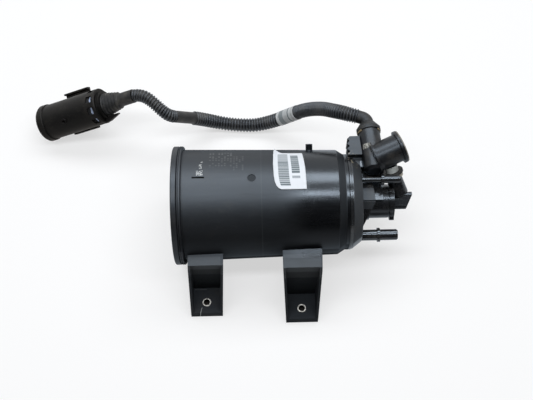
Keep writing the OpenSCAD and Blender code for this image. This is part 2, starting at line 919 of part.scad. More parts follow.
module valve_housing() {
    groove_x = snout_x + o_ring_from;
    groove_end = groove_x + 2 * (valve_o_ring_r + o_ring_room);
    groove_floor = snout_r - 2 * valve_o_ring_r;
    shoulder = socket_x + fit_gap;
    lip = seat_r + seat_t;
    color(black)
        revolve_x([
            [snout_x, seat_r], [snout_x, snout_r], [groove_x, snout_r], [groove_x, groove_floor],
            [groove_end, groove_floor], [groove_end, snout_r], [shoulder, snout_r], [shoulder, valve_r],
            [valve_end, valve_r], [valve_end, valve_bore], [core_x, valve_bore], [core_x, chamber_r],
            [snout_x + seat_wall, chamber_r], [snout_x + seat_wall, lip], [seat_x, lip], [seat_x, seat_r]
        ]);
}

module valve_o_ring() {
    color(soft_black)
        translate([snout_x + o_ring_from + valve_o_ring_r + o_ring_room, axis_back, axis_height])
            rotate([0, 90, 0])
                rotate_extrude()
                    translate([snout_r + fit_gap / 2 - valve_o_ring_r, 0])
                        circle(r = valve_o_ring_r - fit_gap / 2, $fn = 32);
}

module pole_core() {
    color(steel)
        difference() {
            revolve_x([
                [core_x, rod_r + slide_gap], [core_x, valve_bore - fit_gap], [bobbin_x, valve_bore - fit_gap],
                [bobbin_x, plunger_r], [core_end, plunger_r], [core_end, spring_room],
                [spring_seat_x, spring_room], [spring_seat_x, rod_r + slide_gap]
            ]);
            for (i = [0:core_slots - 1]) {
                turn = 360 * i / core_slots;
                at = (valve_bore - over) * [cos(turn), sin(turn)];
                rod_x(core_x - over, bobbin_x + over, core_slot_r, at);
            }
        }
}

module coil_bobbin() {
    bore = plunger_r + slide_gap;
    x0 = bobbin_x + bobbin_flange_t;
    x1 = bobbin_end - bobbin_flange_t;
    color([0.75, 0.73, 0.66])
        revolve_x([
            [bobbin_x, bore], [bobbin_x, bobbin_r], [x0, bobbin_r], [x0, bobbin_tube_r], [x1, bobbin_tube_r],
            [x1, bobbin_r], [bobbin_end, bobbin_r], [bobbin_end, bore]
        ]);
}

module coil_winding() {
    x0 = bobbin_x + bobbin_flange_t + fit_gap;
    x1 = bobbin_end - bobbin_flange_t - fit_gap;
    low = bobbin_tube_r + fit_gap;
    high = bobbin_r - coil_sunk;
    color([0.62, 0.33, 0.14])
        revolve_x([[x0, low], [x0, high], [x1, high], [x1, low]]);
}

module coil_frame() {
    r = bobbin_r + fit_gap;
    color(steel)
        revolve_x([[bobbin_x, r], [bobbin_x, r + frame_t], [bobbin_end, r + frame_t], [bobbin_end, r]]);
}

module plunger() {
    color(steel)
        revolve_x([
            [seal_x + rod_sunk, 0], [seal_x + rod_sunk, rod_r], [plunger_x, rod_r], [plunger_x, plunger_r],
            [plunger_end, plunger_r], [plunger_end, 0]
        ]);
}

module plunger_seal() {
    back = seal_x + seal_t;
    pocket = seal_x + rod_sunk - fit_gap;
    color(soft_black)
        revolve_x([
            [seal_x, 0], [seal_x, seal_r], [back - seal_bevel / 2, seal_r], [back, seal_r - seal_bevel],
            [back, rod_r + fit_gap], [pocket, rod_r + fit_gap], [pocket, 0]
        ]);
}

module return_spring() {
    color(steel)
        coil_x(spring_seat_x + fit_gap, plunger_x - fit_gap, spring_r, spring_wire_r, spring_turns, 6, 16);
}

// Section of the cable connector, a rectangle with round corners
module connector_section(inset) {
    w = connector_w / 2 - inset;
    t = connector_t / 2 - inset;
    r = connector_round - inset;
    square([2 * (t - r), 2 * w], center = true);
    square([2 * t, 2 * (w - r)], center = true);
    for (i = [-1, 1])
        for (j = [-1, 1])
            translate([i * (t - r), j * (w - r)])
                circle(r = r);
}

module connector_block(x0, x1, inset) {
    translate([x0, axis_back, axis_height])
        rotate([connector_tilt, 0, 0])
            rotate([0, 90, 0])
                linear_extrude(x1 - x0)
                    connector_section(inset);
}

module valve_cap() {
    color(black)
        difference() {
            union() {
                rod_x(bobbin_end, valve_end + over, valve_bore - fit_gap);
                rod_x(valve_end, valve_end + groove_len + over, groove_r);
                rod_x(valve_end + groove_len, valve_flange_end, valve_flange_r);
                connector_block(valve_flange_end - over, connector_end, 0);
                along(tower_foot, stack_dir)
                    cylinder(h = ring_at, r1 = tower_foot_r, r2 = tower_r);
                rod_x(valve_end + groove_len, valve_flange_end, lug_r, lug_at);
            }
            rod_x(bobbin_end - over, valve_end, plunger_r + slide_gap + loose_gap);
            connector_block(valve_flange_end + connector_floor, connector_end + over, connector_wall);
            // Slanted mouth of the connector
            translate([connector_end, axis_back, axis_height])
                rotate([connector_tilt, 0, 0])
                    linear_extrude(2 * connector_t, center = true)
                        polygon([
                            [0, connector_w / 2 - connector_round], [over, connector_w / 2 - connector_round],
                            [over, -connector_w / 2], [-connector_slant, -connector_w / 2]
                        ]);
            along(tower_foot + tower_floor * stack_dir, stack_dir)
                cylinder(h = ring_at, r = stack_bore);
        }
}

module terminals() {
    color([0.75, 0.62, 0.30])
        for (side = [-1, 1])
            translate([valve_flange_end + connector_floor, axis_back, axis_height])
                rotate([connector_tilt, 0, 0])
                    translate([0, (side * terminal_gap - terminal_size[1]) / 2, -terminal_size[2] / 2])
                        cube(terminal_size);
}

module outlet_ring() {
    color(dirty_white)
        stack_ring(ring_at, ring_t, ring_r, stack_bore);
}

module outlet_seal() {
    color(soft_black)
        stack_ring(ring_at + ring_t, seal_ring_t, seal_ring_r, stack_bore);
}

module outlet_sleeve() {
    color(pale)
        stack_ring(sleeve_at, pale_sleeve_len, pale_sleeve_r, stack_bore);
}

// The tee's own frame: the branch's root, turned so that the run lies along +Y
module tee_frame() {
    translate(branch_from)
        rotate([0, 0, tee_turn])
            children();
}

// Round bar along the tee's run, between two places from the branch
module run(y0, y1, r) {
    tee_frame()
        translate([0, y0, 0])
            rotate([-90, 0, 0])
                cylinder(h = y1 - y0, r = r);
}

// A turned shape about the tee's run, from points given as place along the run and radius
module turned_run(points) {
    tee_frame()
        rotate([-90, 0, 0])
            rotate_extrude()
                polygon([for (p = points) [p[1], p[0]]]);
}

module vent_tee() {
    spigot_end = run_len + spigot_out;
    bevel_end = run_bevel - run_front;
    throat = run_len - tee_wall;
    bore = tee_r - tee_wall;
    spigot_bore = spigot_r - tee_wall;
    color(black)
        difference() {
            union() {
                turned_run([
                    [-run_front, 0], [-run_front, tee_r - run_bevel], [bevel_end, tee_r], [run_len, tee_r],
                    [run_len, spigot_r], [spigot_end, spigot_r], [spigot_end, 0]
                ]);
                along(branch_from, branch_dir) {
                    cylinder(h = branch_len, r = branch_r);
                    translate([0, 0, root_ring_from])
                        cylinder(h = root_ring_t, r = branch_r + root_ring_lip);
                    translate([0, 0, branch_len - branch_flange_t])
                        cylinder(h = branch_flange_t, r = branch_flange_r);
                }
                along(tower_foot + stub_at * stack_dir, stack_dir)
                    cylinder(h = branch_r, r = stub_r);
            }
            turned_run([
                [bevel_end, 0], [bevel_end, bore], [throat, bore], [throat, spigot_bore],
                [spigot_end + over, spigot_bore], [spigot_end + over, 0]
            ]);
            along(branch_from, branch_dir)
                cylinder(h = branch_len + over, r = branch_r - tee_wall);
            along(tower_foot + (stub_at - over) * stack_dir, stack_dir)
                cylinder(h = branch_r, r = stack_bore);
        }
}

module port_gasket() {
    color(dirty_white)
        along(branch_from + branch_len * branch_dir, branch_dir)
            difference() {
                cylinder(h = gasket_t, r = branch_flange_r - gasket_inset);
                translate([0, 0, -over])
                    cylinder(h = gasket_t + 2 * over, r = branch_r - tee_wall);
            }
}

module tee_o_ring() {
    color(soft_black)
        tee_frame()
            translate([0, collar_y + skirt_len + tee_o_ring_from + tee_o_ring_w / 2, 0])
                rotate([-90, 0, 0])
                    rotate_extrude()
                        translate([spigot_r + fit_gap + tee_o_ring_r, 0])
                            circle(r = tee_o_ring_r, $fn = 32);
}

// Section of the elbow's tube
module elbow_section() {
    difference() {
        circle(r = elbow_r);
        circle(r = elbow_bore);
    }
}

// The bend of the elbow, with its straight tail
module elbow_tube() {
    tee_frame()
        translate([-elbow_bend, collar_end, 0]) {
            rotate_extrude(angle = elbow_angle)
                translate([elbow_bend, 0])
                    elbow_section();
            rotate([0, 0, elbow_angle])
                translate([elbow_bend, 0, 0])
                    rotate([-90, 0, 0])
                        linear_extrude(elbow_tail)
                            elbow_section();
        }
}

module hose_elbow() {
    skirt = collar_y + skirt_len + loose_gap;
    seal_from = collar_y + skirt_len + tee_o_ring_from;
    seal_to = seal_from + tee_o_ring_w;
    bore_to = run_len + spigot_out + loose_gap;
    bore_r = spigot_r + fit_gap;
    seal_bore_r = bore_r + 2 * tee_o_ring_r + fit_gap;
    color([0.16, 0.155, 0.145]) {
        turned_run([
            [collar_y, tee_r + loose_gap], [collar_y, collar_r], [collar_y + collar_rim, collar_r],
            [bore_to, bore_r + tee_wall / 2], [collar_end, elbow_r + elbow_step], [collar_end, elbow_bore],
            [bore_to, elbow_bore], [bore_to, bore_r], [seal_to, bore_r], [seal_to, seal_bore_r],
            [seal_from, seal_bore_r], [seal_from, bore_r], [skirt, bore_r], [skirt, tee_r + loose_gap]
        ]);
        elbow_tube();
    }
}

// Open ring in front of the collar's rim
module collar_retainer() {
    color(dirty_white)
        tee_frame()
            translate([0, collar_y - retainer_w - fit_gap, 0])
                rotate([-90, 0, 0])
                    rotate([0, 0, retainer_open / 2 - 90])
                        rotate_extrude(angle = 360 - retainer_open)
                            translate([tee_r + fit_gap, 0])
                                square([collar_r - retainer_sunk - tee_r - fit_gap, retainer_w]);
}

module hose_long() {
    color(soft_black)
        hose(long_route, hose_start_dir, joiner_to - joiner_from, hose_r);
}

module hose_joiner() {
    color(black)
        along(joiner_from, joiner_to - joiner_from)
            cylinder(h = norm(joiner_to - joiner_from), r = joiner_r);
}

module hose_short() {
    color(soft_black)
        hose(short_route, joiner_to - joiner_from, -filter_dir, short_hose_r);
}

// A turned shape about the filter's axis, from points given as place from its closed end and radius
module turned_filter(points) {
    along(filter_at, filter_dir)
        rotate_extrude()
            polygon([for (p = points) [p[1], p[0]]]);
}

module filter_neck() {
    step_end = filter_end + filter_step_len;
    bore_to = filter_end + filter_spigot_len + loose_gap;
    ribs = [
        for (i = [0:neck_ribs - 1])
            let (x = neck_rib_from + i * neck_rib_pitch, r = neck_r_base - neck_taper * i)
                each [
                    [x, r - neck_rib_h], [x + neck_rib_pitch * 0.2, r], [x + neck_rib_pitch * 0.6, r],
                    [x + neck_rib_pitch * 0.8, r - neck_rib_h]
                ]
    ];
    color(soft_black)
        turned_filter(concat(
            [[step_end, filter_spigot_r + fit_gap], [step_end, neck_r_base]],
            ribs,
            [
                [neck_rib_end, cuff_r], [neck_end, cuff_r], [neck_end, neck_bore], [bore_to, neck_bore],
                [bore_to, filter_spigot_r + fit_gap]
            ]
        ));
}

// Mounting plate of the filter, with rails along its edges
module filter_plate() {
    drop = filter_r - filter_plate_sunk;
    translate([drop, -filter_plate_down, filter_plate_from])
        cube([filter_plate_t, filter_plate_up + filter_plate_down, filter_plate_len]);
    for (edge = [-filter_plate_down, filter_plate_up - rail_t])
        translate([drop - rail_h, edge, filter_plate_from])
            cube([rail_h + filter_plate_t, rail_t, filter_plate_len]);
}

// Tongue beside the rubber neck
module filter_tongue() {
    low = neck_r_base + loose_gap;
    high = filter_r - filter_bevel;
    root = filter_end - filter_wall;
    tip = filter_end + tongue_len;
    rotate([90, 0, -90])
        translate([0, 0, -tongue_w / 2])
            linear_extrude(tongue_w)
                polygon([
                    [low, root], [high, root], [high, filter_end + filter_step_len], [low + tongue_tip, tip],
                    [low, tip]
                ]);
}

module filter_housing() {
    inner = filter_r - filter_wall;
    step_end = filter_end + filter_step_len;
    spigot_end = filter_end + filter_spigot_len;
    color(black)
        difference() {
            union() {
                turned_filter([
                    [filter_start, inner], [filter_start, filter_r], [filter_end - filter_bevel, filter_r],
                    [filter_end, filter_r - filter_bevel], [filter_end, filter_step_r],
                    [step_end, filter_step_r], [step_end, filter_spigot_r], [spigot_end, filter_spigot_r],
                    [spigot_end, neck_bore], [filter_end - filter_wall, neck_bore],
                    [filter_end - filter_wall, inner]
                ]);
                along(filter_at, filter_dir, filter_roll) {
                    filter_plate();
                    filter_tongue();
                    filter_boss(filter_r - boss_h, filter_r + boss_h, boss_r);
                }
            }
            along(filter_at, filter_dir)
                for (i = [0:filter_windows - 1])
                    rotate([0, 0, 360 * (i + 0.5) / filter_windows])
                        translate([inner - over, -window_w / 2, window_from])
                            cube([filter_wall + 2 * over, window_w, window_len]);
            along(filter_at, filter_dir, filter_roll)
                filter_boss(filter_r - boss_h, filter_r + boss_h + over, boss_hole_r);
        }
}

// Round bar across the filter's wall, between two distances from its axis
module filter_boss(from, to, r) {
    rotate([0, 0, boss_turn])
        translate([from, 0, boss_at])
            rotate([0, 90, 0])
                cylinder(h = to - from, r = r);
}

module filter_cap() {
    inner = filter_r + fit_gap;
    color(black)
        turned_filter([
            [0, 0], [0, filter_cap_r - 3.6 * filter_bevel],
            [1.2 * filter_bevel, filter_cap_r - 1.4 * filter_bevel], [3.2 * filter_bevel, filter_cap_r],
            [filter_cap_len - 0.8 * filter_bevel, filter_cap_r],
            [filter_cap_len, filter_cap_r - 0.6 * filter_bevel], [filter_cap_len, inner],
            [filter_start, inner], [filter_start, 0]
        ]);
}

module filter_element() {
    outer = filter_r - filter_wall - loose_gap;
    far = filter_end - filter_wall - loose_gap;
    color([0.62, 0.70, 0.84])
        turned_filter([
            [filter_start, filter_core_r], [filter_start, outer], [far, outer], [far, filter_core_r]
        ]);
}

canister_shell();
end_cap();
port_head();
foot_sleeves();
return_tube();
charcoal_bed();
head_pad();
cap_pad();
support_grid();
retainer_plate();
bed_spring();
valve_housing();
valve_o_ring();
pole_core();
coil_bobbin();
coil_winding();
coil_frame();
plunger();
plunger_seal();
return_spring();
valve_cap();
terminals();
outlet_ring();
outlet_seal();
outlet_sleeve();
vent_tee();
port_gasket();
tee_o_ring();
hose_elbow();
collar_retainer();
hose_long();
hose_joiner();
hose_short();
filter_neck();
filter_housing();
filter_cap();
filter_element();
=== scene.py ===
"""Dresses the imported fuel-vapour canister: finishes, ringed hose, papers, valve spring and studio."""
from __future__ import annotations

import json
import logging
import math
from bisect import bisect_right
from dataclasses import dataclass
from enum import Enum
from typing import Protocol, Sequence, Union

import bpy
import numpy as np
from mathutils import Matrix, Vector

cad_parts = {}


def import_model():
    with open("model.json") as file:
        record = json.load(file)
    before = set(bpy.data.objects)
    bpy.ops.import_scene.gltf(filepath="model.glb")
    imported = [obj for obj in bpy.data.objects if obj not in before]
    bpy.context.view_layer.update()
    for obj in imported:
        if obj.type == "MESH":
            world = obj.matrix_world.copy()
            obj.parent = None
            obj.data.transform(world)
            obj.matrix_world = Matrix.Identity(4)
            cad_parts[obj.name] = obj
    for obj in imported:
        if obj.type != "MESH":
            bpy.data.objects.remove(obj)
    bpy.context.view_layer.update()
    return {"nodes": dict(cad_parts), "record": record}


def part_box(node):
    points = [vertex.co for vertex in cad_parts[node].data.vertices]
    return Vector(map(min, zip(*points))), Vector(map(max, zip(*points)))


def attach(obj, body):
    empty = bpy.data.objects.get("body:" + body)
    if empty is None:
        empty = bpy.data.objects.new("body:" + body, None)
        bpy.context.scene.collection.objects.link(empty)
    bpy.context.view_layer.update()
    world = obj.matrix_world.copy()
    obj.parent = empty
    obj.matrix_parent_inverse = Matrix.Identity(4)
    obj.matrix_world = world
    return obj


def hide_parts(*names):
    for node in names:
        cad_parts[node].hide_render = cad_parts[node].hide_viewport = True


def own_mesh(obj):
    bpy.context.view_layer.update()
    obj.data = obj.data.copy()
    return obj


LOG = logging.getLogger("canister")
MM = 0.001
BOLTS = ((-0.052, 0.00465), (0.052, -0.00465))
BEVEL_SAMPLES = 4
EDGE_BEND = (0.02, 0.25)

Span = tuple[float, float]
Point = tuple[float, float, float]
Colour = tuple[float, float, float]
Material = bpy.types.Material
Piece = bpy.types.Object
Nodes = dict[str, Piece]
Number = Union["Sock", float]
Triple = tuple["Sock", "Sock", "Sock"]
Dressing = tuple[tuple["Finish", tuple[str, ...]], ...]


class Rides(Enum):
    """The CAD body that the scene's own pieces ride on."""

    CANISTER = "canister"


class Stretch(Enum):
    """The kinds of tube along the hose."""

    CLOSE = "close rings, from the elbow to the paper wrap"
    COARSE = "coarse rings, from the wrap to the joiner"
    PLAIN = "plain, inside the joiner"
    FINE = "fine rings, from the joiner to the filter"


class Sock:
    """A shader socket that takes part in Python arithmetic."""

    def __init__(self, shader: Shader, socket: bpy.types.NodeSocket) -> None:
        """Holds the socket and the shader that it belongs to."""
        self.shader = shader
        self.socket = socket

    def math(self, operation: str, first: Number, second: Number = 0.0) -> Sock:
        """The result of one Math node on two values."""
        return self.shader.node("ShaderNodeMath", {"operation": operation}, {0: first, 1: second})

    def __add__(self, other: Number) -> Sock:
        """Sum."""
        return self.math("ADD", self, other)

    def __radd__(self, other: Number) -> Sock:
        """Sum with a number on the left."""
        return self.math("ADD", other, self)

    def __sub__(self, other: Number) -> Sock:
        """Difference."""
        return self.math("SUBTRACT", self, other)

    def __rsub__(self, other: Number) -> Sock:
        """Difference with a number on the left."""
        return self.math("SUBTRACT", other, self)

    def __mul__(self, other: Number) -> Sock:
        """Product."""
        return self.math("MULTIPLY", self, other)

    def __rmul__(self, other: Number) -> Sock:
        """Product with a number on the left."""
        return self.math("MULTIPLY", other, self)

    def __truediv__(self, other: Number) -> Sock:
        """Quotient."""
        return self.math("DIVIDE", self, other)

    def __rtruediv__(self, other: Number) -> Sock:
        """Quotient with a number on the left."""
        return self.math("DIVIDE", other, self)

    def __mod__(self, other: Number) -> Sock:
        """Remainder, never negative."""
        return self.math("FLOORED_MODULO", self, other)

    def __rmod__(self, other: Number) -> Sock:
        """Remainder with a number on the left."""
        return self.math("FLOORED_MODULO", other, self)

    def floor(self) -> Sock:
        """Whole part."""
        return self.math("FLOOR", self)

    def squared(self) -> Sock:
        """Square."""
        return self * self

    def root(self) -> Sock:
        """Square root."""
        return self.math("SQRT", self)

    def least(self, other: Number) -> Sock:
        """The smaller of two values."""
        return self.math("MINIMUM", self, other)

    def most(self, other: Number) -> Sock:
        """The larger of two values."""
        return self.math("MAXIMUM", self, other)

    def apart(self, other: Sock, first: float, second: float) -> Sock:
        """Distance of the place (this value, the other) from the point (first, second)."""
        return ((self - first).squared() + (other - second).squared()).root()

    def over(self, limit: float) -> Sock:
        """1 above a limit, else 0."""
        return self.math("GREATER_THAN", self, limit)

    def within(self, low: float, high: float) -> Sock:
        """1 between two limits, else 0."""
        return self.over(low) * (1 - self.over(high))

    def rise(self, low: float, high: float) -> Sock:
        """Smooth step from 0 at low to 1 at high."""
        inputs = {"Value": self, "From Min": low, "From Max": high}
        return self.shader.node("ShaderNodeMapRange", {"interpolation_type": "SMOOTHSTEP"}, inputs)


class Shader:
    """One material with a Principled shader and the nodes that feed it."""

    def __init__(self, name: str) -> None:
        """Makes the material with an empty tree and a Principled shader.

        Args:
            name: The material's name.
        """
        self.material = bpy.data.materials.new(name)
        self.material.use_nodes = True
        self.tree = self.material.node_tree
        self.tree.nodes.clear()
        self.output = self.tree.nodes.new("ShaderNodeOutputMaterial")
        self.principled = self.tree.nodes.new("ShaderNodeBsdfPrincipled")
        self.tree.links.new(self.principled.outputs[0], self.output.inputs[0])

    def feed(self, socket: bpy.types.NodeSocket, value: object) -> None:
        """Links a Sock to a socket, or sets a plain value on it.

        Args:
            socket: The socket to feed.
            value: The Sock, number, colour or vector.
        """
        if isinstance(value, Sock):
            self.tree.links.new(value.socket, socket)
        elif isinstance(value, tuple) and len(value) == 3 and socket.type == "RGBA":
            socket.default_value = (*value, 1.0)
        else:
            socket.default_value = value

    def node(
        self,
        kind: str,
        settings: dict[str, object] | None = None,
        inputs: dict[str | int, object] | None = None,
        output: str | int = 0,
    ) -> Sock:
        """Adds any node.

        Args:
            kind: The node's Blender type.
            settings: Attributes to set first.
            inputs: Values or links of its sockets, by name or index.
            output: The output to return.

        Returns:
            The chosen output.
        """
        made = self.tree.nodes.new(kind)
        for key, value in (settings or {}).items():
            setattr(made, key, value)
        for key, value in (inputs or {}).items():
            self.feed(made.inputs[key], value)
        return Sock(self, made.outputs[output])

    def mix(self, amount: Number, first: object, second: object) -> Sock:
        """A colour between two, by the share of the second."""
        inputs = {0: amount, 6: first, 7: second}
        return self.node("ShaderNodeMix", {"data_type": "RGBA"}, inputs, output=2)

    def place(self) -> Sock:
        """Coordinates in the part's own frame, in metres."""
        return self.node("ShaderNodeTexCoord", output="Object")

    def noise(self, vector: Sock, cells: float, detail: float = 3.0, weight: float = 0.55) -> Sock:
        """Noise from 0 to 1, by its cells per unit, its octaves and the weight of the finer ones."""
        inputs = {"Vector": vector, "Scale": cells, "Detail": detail, "Roughness": weight}
        return self.node("ShaderNodeTexNoise", None, inputs, output="Fac")

    def stretched(self, vector: Sock, scale: Point) -> Sock:
        """Coordinates scaled by axis, for streaks."""
        return self.node("ShaderNodeVectorMath", {"operation": "MULTIPLY"}, {0: vector, 1: scale})

    def dot(self, first: Sock, second: object) -> Sock:
        """Dot product of two vectors."""
        settings = {"operation": "DOT_PRODUCT"}
        return self.node("ShaderNodeVectorMath", settings, {0: first, 1: second}, output="Value")

    def split(self, vector: Sock) -> Triple:
        """The three parts of a vector."""
        made = self.node("ShaderNodeSeparateXYZ", None, {0: vector}).socket.node
        return tuple(Sock(self, made.outputs[i]) for i in range(3))

    def facing(self) -> Sock:
        """The surface's own normal."""
        return self.node("ShaderNodeNewGeometry", output="Normal")

    def upward(self, low: float = -0.1, high: float = 1.0) -> Sock:
        """How far the surface faces up: 0 at a low upright part of its normal, 1 at a high one."""
        return self.split(self.facing())[2].rise(low, high)

    def bevel(self, radius: float) -> Sock:
        """A normal rounded along edges."""
        return self.node("ShaderNodeBevel", {"samples": BEVEL_SAMPLES}, {"Radius": radius})

    def edges(self, rounded: Sock) -> Sock:
        """1 along edges, found where a rounded normal leaves the true one."""
        return (1 - self.dot(rounded, self.facing())).rise(*EDGE_BEND)

    def bump(self, height: Sock, depth: float, normal: Sock | None = None) -> Sock:
        """A normal bent by a height.

        Args:
            height: Height from 0 to 1.
            depth: Metres that a height of 1 stands for.
            normal: A normal to start from.

        Returns:
            The bent normal.
        """
        inputs: dict[str | int, object] = {"Height": height, "Distance": depth, "Strength": 1.0}
        if normal is not None:
            inputs["Normal"] = normal
        return self.node("ShaderNodeBump", None, inputs)

    def finish(self, **inputs: object) -> Material:
        """Feeds the Principled shader; underscores stand for spaces.

        Args:
            **inputs: Values or links of its sockets.

        Returns:
            The material.
        """
        for key, value in inputs.items():
            self.feed(self.principled.inputs[key.replace("_", " ")], value)
        return self.material


class Surround(Shader):
    """The world's nodes, with its Background shader."""

    def __init__(self, name: str) -> None:
        """Makes the world.

        Args:
            name: The world's name.
        """
        self.world = bpy.data.worlds.new(name)
        self.world.use_nodes = True
        self.tree = self.world.node_tree
        self.background = self.tree.nodes["Background"]

    def direction(self) -> Sock:
        """The direction that is looked in."""
        return self.node("ShaderNodeTexCoord", output="Generated")


def seen_by(shader: Shader, *kinds: str) -> Sock:
    """1 for rays of the named kinds, such as Camera or Glossy, else 0.

    Args:
        shader: The shader to add nodes to.
        *kinds: The kinds of ray.

    Returns:
        The value.
    """
    shown = [shader.node("ShaderNodeLightPath", output=f"Is {kind} Ray") for kind in kinds]
    found = shown[0]
    for other in shown[1:]:
        found = found.most(other)
    return found


@dataclass(frozen=True)
class Speckle:
    """A noise over the surface, with the step that turns it into spots."""

    cells: float
    detail: float = 3.0
    weight: float = 0.55
    step: Span = (0.0, 1.0)

    def noise(self, shader: Shader, place: Sock) -> Sock:
        """The noise itself, from 0 to 1."""
        return shader.noise(place, self.cells, self.detail, self.weight)

    def spots(self, shader: Shader, place: Sock) -> Sock:
        """0 where the noise lies below the step, 1 where it lies above."""
        return self.noise(shader, place).rise(*self.step)


@dataclass(frozen=True)
class Field:
    """An upright rectangle of the canister's frame, seen from above."""

    x: Span
    y: Span
    above: float = 0.09

    def amount(self, x: Sock, y: Sock, z: Sock) -> Sock:
        """1 inside the rectangle and above its height, else 0."""
        return x.within(*self.x) * y.within(*self.y) * z.over(self.above)


@dataclass(frozen=True)
class Scratch:
    """One pale straight scratch, drawn on whatever lies under it."""

    start: Span
    end: Span
    below: float
    strength: float
    width: float = 0.0006

    def amount(self, x: Sock, y: Sock, z: Sock) -> Sock:
        """How strongly the scratch shows.

        Args:
            x: Place along the canister.
            y: Place across it.
            z: Height.

        Returns:
            The scratch's strength on it, else 0.
        """
        dx, dy = self.end[0] - self.start[0], self.end[1] - self.start[1]
        length = math.hypot(dx, dy)
        along = (x - self.start[0]) * (dx / length) + (y - self.start[1]) * (dy / length)
        off = (x - self.start[0]) * (-dy / length) + (y - self.start[1]) * (dx / length)
        inside = along.within(0.0, length) * off.within(-self.width / 2, self.width / 2)
        return inside * (1 - z.over(self.below)) * self.strength


class Finish(Protocol):
    """What makes one material."""

    def make(self) -> Material:
        """Builds the material."""


@dataclass(frozen=True)
class MouldedPlastic:
    """Moulded black plastic with grain, handling streaks, settled dust, rubbed edges, painted shade on its
    walls and undersides, and a painted tint on its reflections.
    """

    name: str
    colour: Colour
    roughness: float = 0.42
    dust: float = 0.25
    dust_colour: Colour = (0.16, 0.135, 0.105)
    dust_cells: float = 45.0
    dust_step: Span = (0.46, 0.74)
    dust_up: Span = (0.2, 0.8)
    dust_rough: float = 0.6
    grit: Speckle = Speckle(520.0, 2.0, step=(0.52, 0.72))
    settled: Span = (0.75, 0.35)
    streaks: Point = (40.0, 420.0, 420.0)
    streak_shades: Span = (0.75, 1.3)
    streak_rough: float = 0.16
    fine: Speckle = Speckle(1900.0, 2.0)
    fine_share: float = 0.7
    grain: float = 0.00004
    wear: float = 0.35
    wear_step: Span = (0.3, 0.65)
    edge: float = 0.0007
    specular: float = 0.5
    # Painted reflection colour: a tint on every reflection, bluish by default.
    reflection_tint: Colour = (0.80, 0.90, 1.0)
    # Painted shade: a metallic share on walls and undersides, which darkens them on the near-black colour.
    shade_metal: float = 0.6
    dull_rough: float = 0.1
    dull_slope: Span = (0.2, 0.9)
    patches: tuple[tuple[Point, float], ...] = ()
    patch_colour: Colour = (0.30, 0.25, 0.17)
    crumbs: Speckle = Speckle(330.0, 4.0, 0.7, (0.54, 0.64))
    crumb_strength: float = 0.7

    def make(self) -> Material:
        """Builds the material.

        Returns:
            The material.
        """
        shader = Shader(self.name)
        colour, rough, normal = self.layers(shader)
        side = self.side(shader)
        # Painted shade: walls and undersides turn partly metallic, so they render darker.
        inputs = {"Base_Color": colour, "Normal": normal, "Metallic": side * self.shade_metal}
        inputs["Roughness"] = rough + side * self.dull_rough
        return shader.finish(**inputs, Specular_IOR_Level=self.specular, Specular_Tint=self.reflection_tint)

    def side(self, shader: Shader) -> Sock:
        """1 on walls and undersides, which get painted shade and a rougher finish, 0 on what faces up."""
        return 1 - shader.upward(*self.dull_slope)

    def soiled(self, shader: Shader, colour: Sock) -> Sock:
        """Adds the tan crumbs of dirt that lie in patches.

        Args:
            shader: The shader to add nodes to.
            colour: The colour without them.

        Returns:
            The colour with them.
        """
        place = shader.place()
        x, y, z = shader.split(place)
        crumbs = self.crumbs.spots(shader, place) * self.crumb_strength
        for (back, across, height), reach in self.patches:
            spread = (x.apart(y, back, across).squared() + (z - height).squared()).root()
            colour = shader.mix(spread.rise(reach, reach * 0.4) * crumbs, colour, self.patch_colour)
        return colour

    def layers(self, shader: Shader) -> Triple:
        """The plastic's varying looks.

        Args:
            shader: The shader to add nodes to.

        Returns:
            Colour, roughness and normal.
        """
        place = shader.place()
        cloud = shader.noise(place, self.dust_cells, 5.0, 0.62)
        grit = self.grit.noise(shader, place)
        streak = shader.noise(shader.stretched(place, self.streaks), 1.0, 4.0, 0.65)
        settled = cloud.rise(*self.dust_step) * self.settled[0] + grit.rise(*self.grit.step) * self.settled[1]
        dust = settled * (shader.upward() * self.dust_up[1] + self.dust_up[0]) * self.dust
        rounded = shader.bevel(self.edge)
        rubbed = shader.edges(rounded) * cloud.rise(*self.wear_step) * self.wear
        dark, light = (tuple(c * share for c in self.colour) for share in self.streak_shades)
        worn = tuple(min(1.0, c * 3.0 + 0.02) for c in self.colour)
        shade = shader.mix(rubbed, shader.mix(streak, dark, light), worn)
        colour = self.soiled(shader, shader.mix(dust, shade, self.dust_colour))
        rough = self.roughness + (streak - 0.5) * self.streak_rough + dust * self.dust_rough
        bumps = self.fine.noise(shader, place) * self.fine_share + grit * (1 - self.fine_share)
        return colour, rough, shader.bump(bumps, self.grain, rounded)


